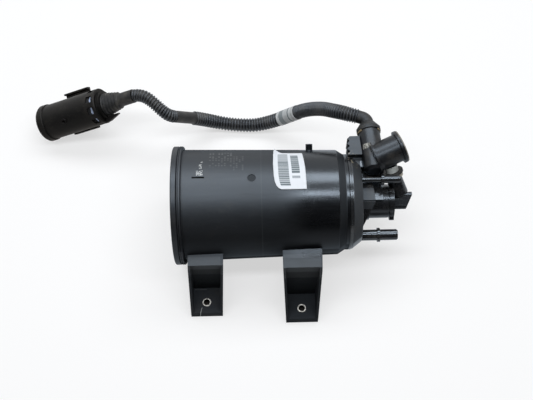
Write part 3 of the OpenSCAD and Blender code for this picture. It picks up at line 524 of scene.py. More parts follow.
@dataclass(frozen=True)
class ShellPlastic(MouldedPlastic):
    """The canister's plastic, with its sunk marks painted as shade, parting line, pale flecks, scratches,
    painted light on the foot roofs and painted shade on its walls, underside and feet.
    """

    bar: Field = Field((-0.0605, -0.0475), (0.1002, 0.1020))
    gate: Span = (0.0013, 0.1000)
    gate_r: float = 0.0043
    gate_shade: float = 0.6
    # Near-black colour of the bar and the gate, painted shade for their recesses.
    sunk_shade_colour: Colour = (0.002, 0.002, 0.002)
    parting_x: float = 0.0112
    parting_step: Span = (0.0008, 0.0003)
    parting_strength: float = 0.02
    flecked: tuple[Field, ...] = (
        Field((-0.0562, -0.0492), (0.1035, 0.1100)),
        Field((-0.0533, -0.0504), (0.1118, 0.1180)),
        Field((-0.0517, -0.0496), (0.1204, 0.1222)),
    )
    flecks: Speckle = Speckle(900.0, 1.0, step=(0.44, 0.52))
    fleck_strength: float = 0.8
    strokes: tuple[Field, ...] = (
        Field((-0.0433, -0.0193), (0.1140, 0.1374)),
        Field((-0.0433, -0.0193), (0.1280, 0.1374)),
        Field((-0.0175, -0.0070), (0.1090, 0.1310)),
    )
    stroke_step: float = 0.0031
    stroke_pitch: float = 0.0026
    stroke_strength: float = 0.08
    scratches: tuple[Scratch, ...] = (
        Scratch((-0.0572, -0.0012), (-0.0596, -0.0110), 0.0085, 0.75),
        Scratch((-0.0655, 0.0195), (-0.0520, 0.0197), 0.012, 0.12),
    )
    # Painted light: the foot roofs are lightened as if lit from above.
    roof_light: tuple[Field, ...] = (
        Field((-0.0716, -0.0340), (0.0210, 0.0345), 0.045),
        Field((0.0330, 0.0720), (0.0120, 0.0345), 0.045),
    )
    roof_light_strength: float = 0.04
    pale: Colour = (0.52, 0.52, 0.50)
    polish: float = 0.28
    polished_x: Span = (0.02, 0.066)
    polished_above: float = 0.07
    slope_x: Span = (0.0918, 0.0996)
    slope_rough: float = 0.35
    feet_below: float = 0.058
    feet_rough: float = 0.25
    # Painted shade over the feet: a metallic share.
    feet_shade_metal: float = 0.35
    feet_front: float = 0.0352
    # How much less painted shade the feet's walls get than the drum's walls.
    feet_shade_cut: float = 0.25
    drum_slope: Span = (0.45, 0.97)
    # A darker colour towards +x, which also paints shade on the drum's walls and underside.
    clean_x: Span = (-0.06, 0.03)
    clean: Colour = (0.003, 0.003, 0.0035)
    clean_share: float = 0.85
    drum_side_shade: float = 0.8

    def make(self) -> Material:
        """Builds the material.

        Returns:
            The material.
        """
        shader = Shader(self.name)
        colour, rough, normal = self.layers(shader)
        place = shader.place()
        x, y, z = shader.split(place)
        drum = y.over(self.feet_front)
        upper = z.over(self.polished_above)
        feet = 1 - z.over(self.feet_below)
        side = self.side(shader).most((1 - shader.upward(*self.drum_slope)) * drum)
        # Painted shade: the bar and the gate turn near black and fully metallic, to stand for recesses in
        # shadow.
        gate = (1 - x.apart(y, *self.gate).over(self.gate_r)) * z.over(self.bar.above)
        sunk_shade = (self.bar.amount(x, y, z) + gate * self.gate_shade).least(1.0)
        # Darker towards +x; the drum's walls and underside also get this colour as painted shade.
        clean = x.rise(*self.clean_x).most(side * drum * self.drum_side_shade) * self.clean_share
        colour = shader.mix(sunk_shade, shader.mix(clean, colour, self.clean), self.sunk_shade_colour)
        colour = shader.mix(self._marks(shader, place), colour, self.pale)
        # Painted shade: a metallic share on walls and undersides, less of it on the feet's walls, and some
        # over the whole feet.
        shade_metal = (side * (self.shade_metal - (1 - drum) * self.feet_shade_cut)).most(feet * self.feet_shade_metal)
        rough = rough - x.rise(*self.polished_x) * upper * self.polish
        rough = rough + x.within(*self.slope_x) * upper * self.slope_rough
        rough = rough + feet * self.feet_rough + side * self.dull_rough
        inputs = {"Base_Color": colour, "Roughness": rough, "Normal": normal, "Metallic": sunk_shade.most(shade_metal)}
        return shader.finish(**inputs, Specular_IOR_Level=self.specular, Specular_Tint=self.reflection_tint)

    def _marks(self, shader: Shader, place: Sock) -> Sock:
        """The pale marks: parting line, strokes, flecks, painted light on the foot roofs and scratches.

        Args:
            shader: The shader to add nodes to.
            place: The part's coordinates.

        Returns:
            How strongly they show, from 0 to 1.
        """
        x, y, z = shader.split(place)
        strokes = self._strokes(shader, x, y) * self.stroke_strength
        flecks = self.flecks.spots(shader, place) * self.fleck_strength
        shown = (x - self.parting_x).squared().root().rise(*self.parting_step) * self.parting_strength
        kinds = ((self.strokes, strokes), (self.flecked, flecks), (self.roof_light, self.roof_light_strength))
        for areas, strength in kinds:
            for area in areas:
                shown = shown + area.amount(x, y, z) * strength
        for scratch in self.scratches:
            shown = shown + scratch.amount(x, y, z)
        return shown.least(1.0)

    def _strokes(self, shader: Shader, x: Sock, y: Sock) -> Sock:
        """Short strokes in columns, some left out, like a worn moulded notice.

        Args:
            shader: The shader to add nodes to.
            x: Place along the canister.
            y: Place across it.

        Returns:
            1 on a stroke, else 0.
        """
        step, pitch = self.stroke_step, self.stroke_pitch
        cell = shader.node("ShaderNodeCombineXYZ", None, {0: (x / step).floor(), 1: (y / pitch).floor()})
        settings = {"noise_dimensions": "2D"}
        tone = shader.node("ShaderNodeTexWhiteNoise", settings, {"Vector": cell}, output="Value")
        inside = (x % step).within(0.2 * step, 0.75 * step)
        return inside * (y % pitch).over(0.4 * pitch) * tone.over(0.4)


@dataclass(frozen=True)
class HeadPlastic(MouldedPlastic):
    """The head's plastic, smoother on its hose nipples and matt on its slope, shelf and tower."""

    nipples: tuple[Point, ...] = ((0.0599, 0.0569, 0.009), (0.1055, 0.1, 0.007))
    face_x: float = 0.1172
    polish: float = 0.08
    matt: tuple[Field, ...] = (
        Field((0.1, 0.1215), (0.129, 0.157), 0.098),
        Field((0.1165, 0.1315), (0.078, 0.0995), 0.0845),
        Field((0.1068, 0.1165), (0.03, 0.1285), 0.07),
    )
    matt_rough: float = 0.4

    def layers(self, shader: Shader) -> Triple:
        """The plastic's varying looks with smooth nipples and matt fields.

        Args:
            shader: The shader to add nodes to.

        Returns:
            Colour, roughness and normal.
        """
        colour, rough, normal = super().layers(shader)
        x, y, z = shader.split(shader.place())
        for back, height, radius in self.nipples:
            rough = rough - (1 - y.apart(z, back, height).over(radius)) * x.over(self.face_x) * self.polish
        for area in self.matt:
            rough = rough + area.amount(x, y, z) * self.matt_rough
        return colour, rough, normal


@dataclass(frozen=True)
class TeePlastic(MouldedPlastic):
    """The tee's plastic, with one pale flecked square on its run."""

    square: Field = Field((0.1196, 0.1264), (0.1358, 0.1414), 0.106)
    flecks: Speckle = Speckle(800.0, 2.0, step=(0.42, 0.56))
    pale: Colour = (0.42, 0.41, 0.36)

    def layers(self, shader: Shader) -> Triple:
        """The plastic's varying looks with the square.

        Args:
            shader: The shader to add nodes to.

        Returns:
            Colour, roughness and normal.
        """
        colour, rough, normal = super().layers(shader)
        place = shader.place()
        flecks = self.flecks.spots(shader, place) * 0.75 + 0.2
        shown = self.square.amount(*shader.split(place)) * flecks
        return shader.mix(shown, colour, self.pale), rough, normal


@dataclass(frozen=True)
class SealRubber:
    """Matt rubber with a bloom and fine pitting."""

    name: str
    colour: Colour = (0.010, 0.010, 0.0105)
    roughness: float = 0.6
    dust: float = 0.3
    dust_colour: Colour = (0.12, 0.105, 0.085)
    cloud: Speckle = Speckle(90.0, 4.0, 0.6, (0.42, 0.75))
    pits: Speckle = Speckle(1400.0, 2.0)
    relief: float = 0.00005
    edge: float = 0.0004

    def make(self) -> Material:
        """Builds the material.

        Returns:
            The material.
        """
        shader = Shader(self.name)
        place = shader.place()
        pits = self.pits.noise(shader, place)
        colour = shader.mix(self.cloud.spots(shader, place) * self.dust, self.colour, self.dust_colour)
        normal = shader.bump(pits, self.relief, shader.bevel(self.edge))
        return shader.finish(Base_Color=colour, Roughness=self.roughness + (pits - 0.5) * 0.15, Normal=normal)


@dataclass(frozen=True)
class PlainMetal:
    """Plated or drawn metal with fine brushing and stains."""

    name: str
    colour: Colour
    roughness: float = 0.35
    stain: float = 0.4
    stain_colour: Colour = (0.09, 0.07, 0.05)
    stains: Speckle = Speckle(260.0, 4.0, 0.65, (0.5, 0.72))
    brushing: Point = (900.0, 900.0, 120.0)
    relief: float = 0.00002
    edge: float = 0.0003

    def make(self) -> Material:
        """Builds the material.

        Returns:
            The material.
        """
        shader = Shader(self.name)
        place = shader.place()
        brushed = shader.noise(shader.stretched(place, self.brushing), 1.0)
        stains = self.stains.spots(shader, place) * self.stain
        colour = shader.mix(stains, self.colour, self.stain_colour)
        rough = self.roughness + (brushed - 0.5) * 0.25 + stains * 0.3
        normal = shader.bump(brushed, self.relief, shader.bevel(self.edge))
        return shader.finish(Base_Color=colour, Roughness=rough, Metallic=1 - stains, Normal=normal)


@dataclass(frozen=True)
class SleeveSteel:
    """The bolt sleeves' steel: a bright rim with stains, and painted shade in the bore."""

    name: str
    bolts: tuple[Span, ...]
    rim: Span = (0.00345, 0.0046)
    colour: Colour = (0.50, 0.48, 0.44)
    # Near-black colour: painted shade in the bore, and stains on the rim.
    stain_and_bore_shade_colour: Colour = (0.012, 0.010, 0.008)
    roughness: float = 0.4
    stain: float = 0.7
    stains: Speckle = Speckle(380.0, 4.0, 0.65, (0.46, 0.7))

    def make(self) -> Material:
        """Builds the material.

        Returns:
            The material.
        """
        shader = Shader(self.name)
        place = shader.place()
        x, y, _ = shader.split(place)
        bright: Number = 0.0
        for bolt in self.bolts:
            bright = x.apart(y, *bolt).within(*self.rim) + bright
        clean = bright * (1 - self.stains.spots(shader, place) * self.stain)
        # Off the rim the near-black colour paints shade in the bore; on the rim it marks stains.
        colour = shader.mix(clean, self.stain_and_bore_shade_colour, self.colour)
        return shader.finish(Base_Color=colour, Roughness=self.roughness + (1 - clean) * 0.4, Metallic=clean)


@dataclass(frozen=True)
class SoiledPlastic:
    """Pale plastic with brown dirt in patches and specks."""

    name: str
    colour: Colour
    dirt: float = 0.6
    dirt_colour: Colour = (0.13, 0.085, 0.04)
    roughness: float = 0.5
    patches: Speckle = Speckle(190.0, 5.0, 0.68, (0.44, 0.66))
    specks: Speckle = Speckle(900.0, 2.0, step=(0.55, 0.7))
    relief: float = 0.00006
    edge: float = 0.0004

    def make(self) -> Material:
        """Builds the material.

        Returns:
            The material.
        """
        shader = Shader(self.name)
        place = shader.place()
        specks = self.specks.spots(shader, place)
        dirt = (self.patches.spots(shader, place) * 0.75 + specks * 0.4).least(1.0) * self.dirt
        colour = shader.mix(dirt, self.colour, self.dirt_colour)
        normal = shader.bump(specks, self.relief, shader.bevel(self.edge))
        return shader.finish(Base_Color=colour, Roughness=self.roughness + dirt * 0.3, Normal=normal)


@dataclass(frozen=True)
class GranularFill:
    """Pellets or foam: cells with shaded gaps."""

    name: str
    colour: Colour
    gap_colour: Colour
    cells: float
    gap_step: Span = (0.25, 0.75)
    depth: float = 0.0006
    roughness: float = 0.9

    def make(self) -> Material:
        """Builds the material.

        Returns:
            The material.
        """
        shader = Shader(self.name)
        inputs = {"Vector": shader.place(), "Scale": self.cells}
        gaps = shader.node("ShaderNodeTexVoronoi", {"feature": "F1"}, inputs, output="Distance")
        colour = shader.mix(gaps.rise(*self.gap_step), self.colour, self.gap_colour)
        normal = shader.bump(1 - gaps, self.depth)
        return shader.finish(Base_Color=colour, Roughness=self.roughness, Normal=normal)


@dataclass(frozen=True)
class FilterFleece:
    """The filter's fleece: pale towards the neck, near black below."""

    name: str
    foot: Vector
    direction: Vector
    pale_from: float
    colour: Colour = (0.46, 0.54, 0.72)
    # The near-black colour below the line.
    dirt_colour: Colour = (0.012, 0.012, 0.013)
    fibres: Speckle = Speckle(900.0)
    ragged: Speckle = Speckle(260.0, 2.0)
    ragged_by: float = 0.003
    relief: float = 0.0003
    roughness: float = 0.9

    def make(self) -> Material:
        """Builds the material.

        Returns:
            The material.
        """
        shader = Shader(self.name)
        place = shader.place()
        along = shader.dot(place, tuple(self.direction)) - self.foot.dot(self.direction)
        along = along + (self.ragged.noise(shader, place) - 0.5) * self.ragged_by
        fibres = self.fibres.noise(shader, place)
        # Near black below a ragged line along the filter, pale above.
        clean = along.over(self.pale_from) * (fibres * 0.5 + 0.6).least(1.0)
        colour = shader.mix(clean, self.dirt_colour, self.colour)
        normal = shader.bump(fibres, self.relief)
        return shader.finish(Base_Color=colour, Roughness=self.roughness, Normal=normal)


@dataclass(frozen=True)
class RingedTube:
    """The hose's plastic, with painted shade in its grooves (a darker colour and a metallic share) and more
    dust there.
    """

    name: str
    colour: Colour = (0.044, 0.046, 0.050)
    dust_colour: Colour = (0.16, 0.145, 0.125)
    dust: float = 0.28
    roughness: float = 0.34
    # Painted reflection colour: a bluish tint on every reflection.
    reflection_tint: Colour = (0.82, 0.91, 1.0)
    cloud: Speckle = Speckle(60.0, 4.0, 0.6, (0.4, 0.7))
    grit: Speckle = Speckle(700.0, 2.0)
    relief: float = 0.00005
    groove_shade: float = 0.45
    # Metallic share that paints shade in the grooves.
    groove_shade_metal: float = 0.7

    def make(self) -> Material:
        """Builds the material.

        Returns:
            The material.
        """
        shader = Shader(self.name)
        place = shader.place()
        groove = shader.node("ShaderNodeAttribute", {"attribute_name": "groove"}, output="Fac")
        grit = self.grit.noise(shader, place)
        settled = shader.upward() * 0.7 + 0.15 + groove * 0.3
        dust = self.cloud.spots(shader, place) * settled * self.dust
        # Painted shade: the grooves get a darker colour and turn partly metallic.
        shade = shader.mix(groove, self.colour, tuple(c * self.groove_shade for c in self.colour))
        rough = self.roughness + (grit - 0.5) * 0.15 + dust * 0.6
        inputs = {"Roughness": rough, "Metallic": groove * self.groove_shade_metal}
        inputs["Base_Color"] = shader.mix(dust, shade, self.dust_colour)
        return shader.finish(**inputs, Normal=shader.bump(grit, self.relief), Specular_Tint=self.reflection_tint)


@dataclass(frozen=True)
class Bars:
    """One printed column of plain bars, in shares of the paper's width and height."""

    across: Span
    along: Span
    lines: float
    strength: float = 1.0
    ground: float = 0.3
    bar: Span = (0.15, 0.8)

    def amount(self, shader: Shader, across: Sock, along: Sock) -> Sock:
        """How much ink lies at a place.

        Args:
            shader: The shader to add nodes to.
            across: Share across the paper.
            along: Share along it.

        Returns:
            The ink, from 0 to 1.
        """
        row = along * self.lines
        settings = {"noise_dimensions": "1D"}
        tone = shader.node("ShaderNodeTexWhiteNoise", settings, {"W": row.floor()}, output="Value")
        bar = (row % 1.0).within(*self.bar) * (tone * 0.5 + 0.5)
        inside = across.within(*self.across) * along.within(*self.along)
        return inside * (bar * (1 - self.ground) + self.ground) * self.strength


@dataclass(frozen=True)
class PrintedPaper:
    """Paper with plain printed bars in columns, from the sheet's own coordinates."""

    name: str
    columns: tuple[Bars, ...]
    paper: Colour = (0.715, 0.73, 0.75)
    ink: Colour = (0.06, 0.09, 0.10)
    soil: Speckle = Speckle(120.0, 5.0, 0.65, (0.52, 0.8))
    soil_strength: float = 0.25
    soil_colour: Colour = (0.45, 0.42, 0.36)
    creases: Point = (260.0, 60.0, 60.0)
    relief: float = 0.0002
    roughness: float = 0.55

    def make(self) -> Material:
        """Builds the material.

        Returns:
            The material.
        """
        shader = Shader(self.name)
        across, along, _ = shader.split(shader.node("ShaderNodeUVMap"))
        ink: Number = 0.0
        for column in self.columns:
            ink = column.amount(shader, across, along) + ink
        place = shader.place()
        soil = self.soil.spots(shader, place) * self.soil_strength
        colour = shader.mix(ink, shader.mix(soil, self.paper, self.soil_colour), self.ink)
        normal = shader.bump(shader.noise(shader.stretched(place, self.creases), 1.0), self.relief)
        return shader.finish(Base_Color=colour, Roughness=self.roughness, Normal=normal)


class MeshMaker:
    """Collects vertices and faces, then makes one object."""

    def __init__(self) -> None:
        """Starts empty."""
        self.points: list[Vector] = []
        self.faces: list[tuple[int, ...]] = []
        self.coords: list[Span] = []
        self.depths: list[float] = []

    def point(self, point: Vector, coords: Span, depth: float = 0.0) -> None:
        """Adds a point.

        Args:
            point: Its place, in metres.
            coords: Its place on the piece's surface.
            depth: Its groove value.
        """
        self.points.append(point)
        self.coords.append(coords)
        self.depths.append(depth)

    def ring(self, points: Sequence[Vector], coord: float = 0.0, depth: float = 0.0) -> int:
        """Adds a closed ring of points.

        Args:
            points: The ring's points.
            coord: Its place along the piece, for the second coordinate.
            depth: Its groove value.

        Returns:
            Index of its first point.
        """
        first = len(self.points)
        for i, point in enumerate(points):
            self.point(point, (i / len(points), coord), depth)
        return first

    def bridge(self, rings: Sequence[int], count: int) -> None:
        """Joins rings of the same count, each with the next one, with quads.

        Args:
            rings: Index of each ring's first point.
            count: The points in a ring.
        """
        for first, second in zip(rings, rings[1:]):
            for i in range(count):
                j = (i + 1) % count
                self.faces.append((first + i, first + j, second + j, second + i))

    def cap(self, first: int, count: int, flip: bool) -> None:
        """Closes a ring with one face."""
        face = tuple(range(first, first + count))
        self.faces.append(face[::-1] if flip else face)

    def tube(self, rings: Sequence[int], count: int) -> None:
        """Joins rings of the same count into one tube with closed ends.

        Args:
            rings: Index of each ring's first point.
            count: The points in a ring.
        """
        self.cap(rings[0], count, True)
        self.bridge(rings, count)
        self.cap(rings[-1], count, False)

    def make(self, name: str, material: Material, smooth: bool = True) -> Piece:
        """Makes the object.

        Args:
            name: The piece's name.
            material: Its finish.
            smooth: Whether its faces shade smoothly.

        Returns:
            The new object, linked to the scene.
        """
        mesh = bpy.data.meshes.new(name)
        mesh.from_pydata(self.points, [], self.faces)
        layer = mesh.uv_layers.new(name="UVMap")
        for loop in mesh.loops:
            layer.data[loop.index].uv = self.coords[loop.vertex_index]
        groove = mesh.attributes.new("groove", "FLOAT", "POINT")
        groove.data.foreach_set("value", self.depths)
        mesh.polygons.foreach_set("use_smooth", [smooth] * len(mesh.polygons))
        mesh.materials.append(material)
        mesh.update()
        made = bpy.data.objects.new(name, mesh)
        bpy.context.scene.collection.objects.link(made)
        return made


class SmoothLine:
    """A smooth curve through points, measured by its length."""

    reach: float = 0.0012

    def __init__(self, points: Sequence[Vector], start: Vector, end: Vector, step: float) -> None:
        """Samples a cubic curve through the points.

        Args:
            points: Points that it passes through.
            start: Direction at the first point.
            end: Direction at the last point.
            step: Largest distance between samples.
        """
        spans = [(b - a).length for a, b in zip(points, points[1:])]
        slopes = [start.normalized()]
        for i in range(1, len(points) - 1):
            before = (points[i] - points[i - 1]) / spans[i - 1]
            after = (points[i + 1] - points[i]) / spans[i]
            slopes.append(before.lerp(after, spans[i - 1] / (spans[i - 1] + spans[i])))
        slopes.append(end.normalized())
        self.samples: list[Vector] = [points[0].copy()]
        for i, span in enumerate(spans):
            count = max(2, math.ceil(span / step))
            ends = (points[i], points[i + 1], slopes[i] * span, slopes[i + 1] * span)
            self.samples += [self._cubic(*ends, k / count) for k in range(1, count + 1)]
        self.marks = [0.0]
        for a, b in zip(self.samples, self.samples[1:]):
            self.marks.append(self.marks[-1] + (b - a).length)

    @staticmethod
    def _cubic(a: Vector, b: Vector, slope_a: Vector, slope_b: Vector, t: float) -> Vector:
        """One point of a cubic between two points with given slopes."""
        near = a * (2 * t ** 3 - 3 * t ** 2 + 1) + slope_a * (t ** 3 - 2 * t ** 2 + t)
        return near + b * (3 * t ** 2 - 2 * t ** 3) + slope_b * (t ** 3 - t ** 2)

    @property
    def length(self) -> float:
        """Length of the whole curve."""
        return self.marks[-1]

    def at(self, distance: float) -> Vector:
        """The point at a distance along the curve.

        Args:
            distance: The distance from its start.

        Returns:
            The point.
        """
        distance = min(max(distance, 0.0), self.length)
        low = min(bisect_right(self.marks, distance), len(self.marks) - 1) - 1
        share = (distance - self.marks[low]) / max(self.marks[low + 1] - self.marks[low], 1e-12)
        return self.samples[low].lerp(self.samples[low + 1], share)

    def direction(self, distance: float) -> Vector:
        """The curve's direction at a distance along it."""
        return (self.at(distance + self.reach) - self.at(distance - self.reach)).normalized()

    def nearest(self, point: Vector) -> float:
        """The distance along the curve that lies nearest to a point."""
        best = min(range(len(self.samples)), key=lambda i: (self.samples[i] - point).length_squared)
        return self.marks[best]


def millimetres(*values: float) -> Vector:
    """A point given in millimetres, in metres."""
    return Vector(values) * MM


@dataclass
class Assembly:
    """A sub-assembly of CAD pieces with their finishes."""

    finishes: Dressing = ()

    def dress(self, nodes: Nodes) -> None:
        """Gives the CAD pieces their finishes.

        Args:
            nodes: The CAD nodes.
        """
        for finish, names in self.finishes:
            material = finish.make()
            for name in names:
                slots = nodes[name].data.materials
                slots.clear()
                slots.append(material)
                LOG.info("dressed %s with %s", name, material.name)


@dataclass
class AirFilter(Assembly):
    """The air filter at the hose's far end; its pieces come from CAD."""

    foot: Point = (-242.5, 226.1, 18.2)
    slope: float = 26.0
    turn: float = 2.0
    neck_end: float = 123.5
    pale_from: float = 75.4
    nodes: tuple[str, ...] = ("filter_neck", "filter_housing", "filter_cap", "filter_element")

    def __post_init__(self) -> None:
        """Picks the finishes; the fleece is pale by the neck."""
        case = MouldedPlastic(
            "filter_case", (0.004, 0.004, 0.004), roughness=0.48, dust=0.2, dust_colour=(0.11, 0.095, 0.075),
            # A warm tint on the case's reflections, painted to look like a brown floor reflected.
            specular=0.26, reflection_tint=(1.0, 0.95, 0.9),
        )
        foot, pale_from = millimetres(*self.foot), self.pale_from * MM
        self.finishes = (
            (case, ("filter_housing", "filter_cap")),
            (SealRubber("filter_boot", dust=0.45), ("filter_neck",)),
            (FilterFleece("filter_fleece", foot, self.direction(), pale_from), ("filter_element",)),
        )

    def direction(self) -> Vector:
        """Direction from the closed end to the neck."""
        level, turn = math.cos(math.radians(self.slope)), math.radians(self.turn)
        return Vector((level * math.cos(turn), level * math.sin(turn), math.sin(math.radians(self.slope))))

    def tip(self) -> Vector:
        """Where the hose enters the neck."""
        return millimetres(*self.foot) + self.direction() * (self.neck_end * MM)


@dataclass
class VentHose(Assembly):
    """The ringed hose from the elbow to the filter, with its plain joiner and paper wrap."""

    finishes: Dressing = (
        (SealRubber("joiner_rubber", (0.011, 0.011, 0.012), roughness=0.5), ("hose_joiner",)),
    )
    start: Point = (116.563, 179.136, 104.5)
    start_dir: Point = (-0.93969, 0.34202, 0.0)
    long_route: tuple[Point, ...] = (
        (107.5, 182.2, 104), (99.5, 186.4, 101.3), (92, 191.8, 95.3), (83, 200, 85), (72, 209, 70),
        (60, 216, 54), (47, 220, 38), (34, 222, 25), (20, 223, 15), (6, 223, 10), (-12, 224, 8.6),
        (-28, 225, 10.5), (-43, 225.5, 15.5), (-55.5, 224, 24),
    )
    joiner_from: Point = (-67, 220.5, 34.5)
    joiner_to: Point = (-87, 211.5, 55.5)
    short_route: tuple[Point, ...] = (
        (-93.3, 210.5, 62), (-99.5, 213, 67.5), (-106, 217.5, 72.3), (-112, 222, 75), (-118, 226, 76),
        (-125, 228.8, 74.9),
    )
    line_step: float = 0.8
    path_steps: int = 400
    diameter: float = 0.016
    coarse_r: float = 8.1
    fine_r: float = 7.2
    plain_r: float = 6.5
    plain_rings: int = 8
    plain_groove: float = 0.5
    groove: float = 1.2
    pitches: tuple[tuple[Stretch, float], ...] = (
        (Stretch.CLOSE, 2.8), (Stretch.COARSE, 3.6), (Stretch.FINE, 3.0),
    )
    ridge: tuple[Span, ...] = (
        (0.04, 0.0), (0.16, 0.8), (0.26, 1.0), (0.46, 1.0), (0.56, 0.8), (0.68, 0.0), (0.86, 0.0),
    )
    sides: int = 40
    wrap_x: Span = (54.3, 34.8)
    wrap_lifts: Span = (0.35, 0.1)
    wrap_steps: int = 40
    wrap_bands: tuple[Point, ...] = (
        (0.10, 0.14, 0.4), (0.28, 0.35, 0.9), (0.38, 0.58, 0.2), (0.60, 0.84, 0.75),
    )
    wrap_lines: float = 14.0
    wrap_ground: float = 0.8
    wrap_paper: Colour = (0.51, 0.515, 0.51)
    ripple: float = 3.6
    ripple_height: float = 0.1

    def line(self, filter_piece: AirFilter) -> SmoothLine:
        """The hose's centreline.

        Args:
            filter_piece: The filter that it ends in.

        Returns:
            The smooth line, in metres.
        """
        a, b = millimetres(*self.joiner_from), millimetres(*self.joiner_to)
        points = [millimetres(*p) for p in (self.start, *self.long_route)]
        points += [a, a.lerp(b, 0.33), a.lerp(b, 0.67), b]
        points += [millimetres(*p) for p in self.short_route]
        points.append(filter_piece.tip())
        return SmoothLine(points, Vector(self.start_dir), -filter_piece.direction(), self.line_step * MM)

    def stations(self, line: SmoothLine) -> list[Point]:
        """The tube's rings.

        Args:
            line: The centreline.

        Returns:
            Distance, radius and groove value of each ring.
        """
        joints = [line.nearest(millimetres(*p)) for p in (self.joiner_from, self.joiner_to)]
        marks = [0.0, self._wrap_marks(line)[0], *joints, line.length]
        rings = []
        for kind, low, high in zip(Stretch, marks, marks[1:]):
            rings += self._ringed(kind, low, high)
        return rings

    def _ringed(self, kind: Stretch, low: float, high: float) -> list[Point]:
        """Rings of one stretch: a rounded ridge and a groove for every pitch.

        Args:
            kind: The stretch's kind.
            low: Distance at which it begins.
            high: Distance at which it ends.

        Returns:
            Distance, radius and groove value of each ring.
        """
        if kind is Stretch.PLAIN:
            step = (high - low) / self.plain_rings
            middles = [low + step * (i + 0.5) for i in range(self.plain_rings)]
            return [(middle, self.plain_r * MM, self.plain_groove) for middle in middles]
        radius = self.fine_r if kind is Stretch.FINE else self.coarse_r
        count = max(1, round((high - low) / (dict(self.pitches)[kind] * MM)))
        step = (high - low) / count
        rings = []
        for i in range(count):
            for share, ridge in self.ridge:
                rings.append((low + step * (i + share), (radius - self.groove * (1 - ridge)) * MM, 1 - ridge))
        return rings

    def _wrap_marks(self, line: SmoothLine) -> list[float]:
        """The distances along the line at which the paper wrap begins and ends."""
        near = [p for p in line.samples if p.x > self.joiner_from[0] * MM]
        return [line.nearest(min(near, key=lambda p, x=x: abs(p.x - x * MM))) for x in self.wrap_x]

    def build(self, filter_piece: AirFilter, nodes: Nodes) -> list[Piece]:
        """Args:
            filter_piece: The filter at its far end.
            nodes: The CAD nodes.

        Returns:
            The new pieces.
        """
        self.dress(nodes)
        line = self.line(filter_piece)
        maker = MeshMaker()
        side = Vector((0, 1, 0))
        rings = []
        for distance, radius, groove in self.stations(line):
            loop, side = self._loop(line, distance, radius, side)
            rings.append(maker.ring(loop, distance, groove))
        maker.tube(rings, self.sides)
        hose = maker.make("vent_hose", RingedTube("hose_plastic").make())
        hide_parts("hose_long", "hose_short")
        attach(hose, Rides.CANISTER.value)
        wrap = self._wrap(line)
        pieces = [nodes[n] for n in ("hose_joiner", *filter_piece.nodes)] + [wrap]
        path = [line.at(line.length * i / self.path_steps) for i in range(self.path_steps + 1)]
        return [hose, wrap]

    def _loop(
        self, line: SmoothLine, distance: float, radius: float, side: Vector,
    ) -> tuple[list[Vector], Vector]:
        """One ring of points square to the line.

        Args:
            line: The centreline.
            distance: The ring's place along it.
            radius: The ring's radius.
            side: The side direction carried along the line.

        Returns:
            The points, and the side direction here.
        """
        along, centre = line.direction(distance), line.at(distance)
        side = (side - along * side.dot(along)).normalized()
        up = along.cross(side)
        turns = [2 * math.pi * i / self.sides for i in range(self.sides)]
        return [centre + side * (radius * math.cos(t)) + up * (radius * math.sin(t)) for t in turns], side

    def _wrap(self, line: SmoothLine) -> Piece:
        """The paper wrap round the hose: a thin closed tube that follows the rings.

        Args:
            line: The centreline.

        Returns:
            The wrap.
        """
        start, end = self._wrap_marks(line)
        maker = MeshMaker()
        side = Vector((0, 1, 0))
        skins: list[list[int]] = []
        for lift in self.wrap_lifts:
            skins.append([])
            for i in range(self.wrap_steps + 1):
                distance = start + (end - start) * i / self.wrap_steps
                ripple = self.ripple_height * math.cos(2 * math.pi * distance / (self.ripple * MM))
                loop, side = self._loop(line, distance, (self.coarse_r + lift + ripple) * MM, side)
                skins[-1].append(maker.ring(loop, i / self.wrap_steps))
        outer, inner = skins
        maker.bridge([*outer, *inner[::-1], outer[0]], self.sides)
        columns = tuple(
            Bars((0.0, 1.0), (low, high), self.wrap_lines, ink, self.wrap_ground)
            for low, high, ink in self.wrap_bands
        )
        wrap = maker.make("hose_wrap", PrintedPaper("wrap_paper", columns, self.wrap_paper).make())
        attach(wrap, Rides.CANISTER.value)
        return wrap


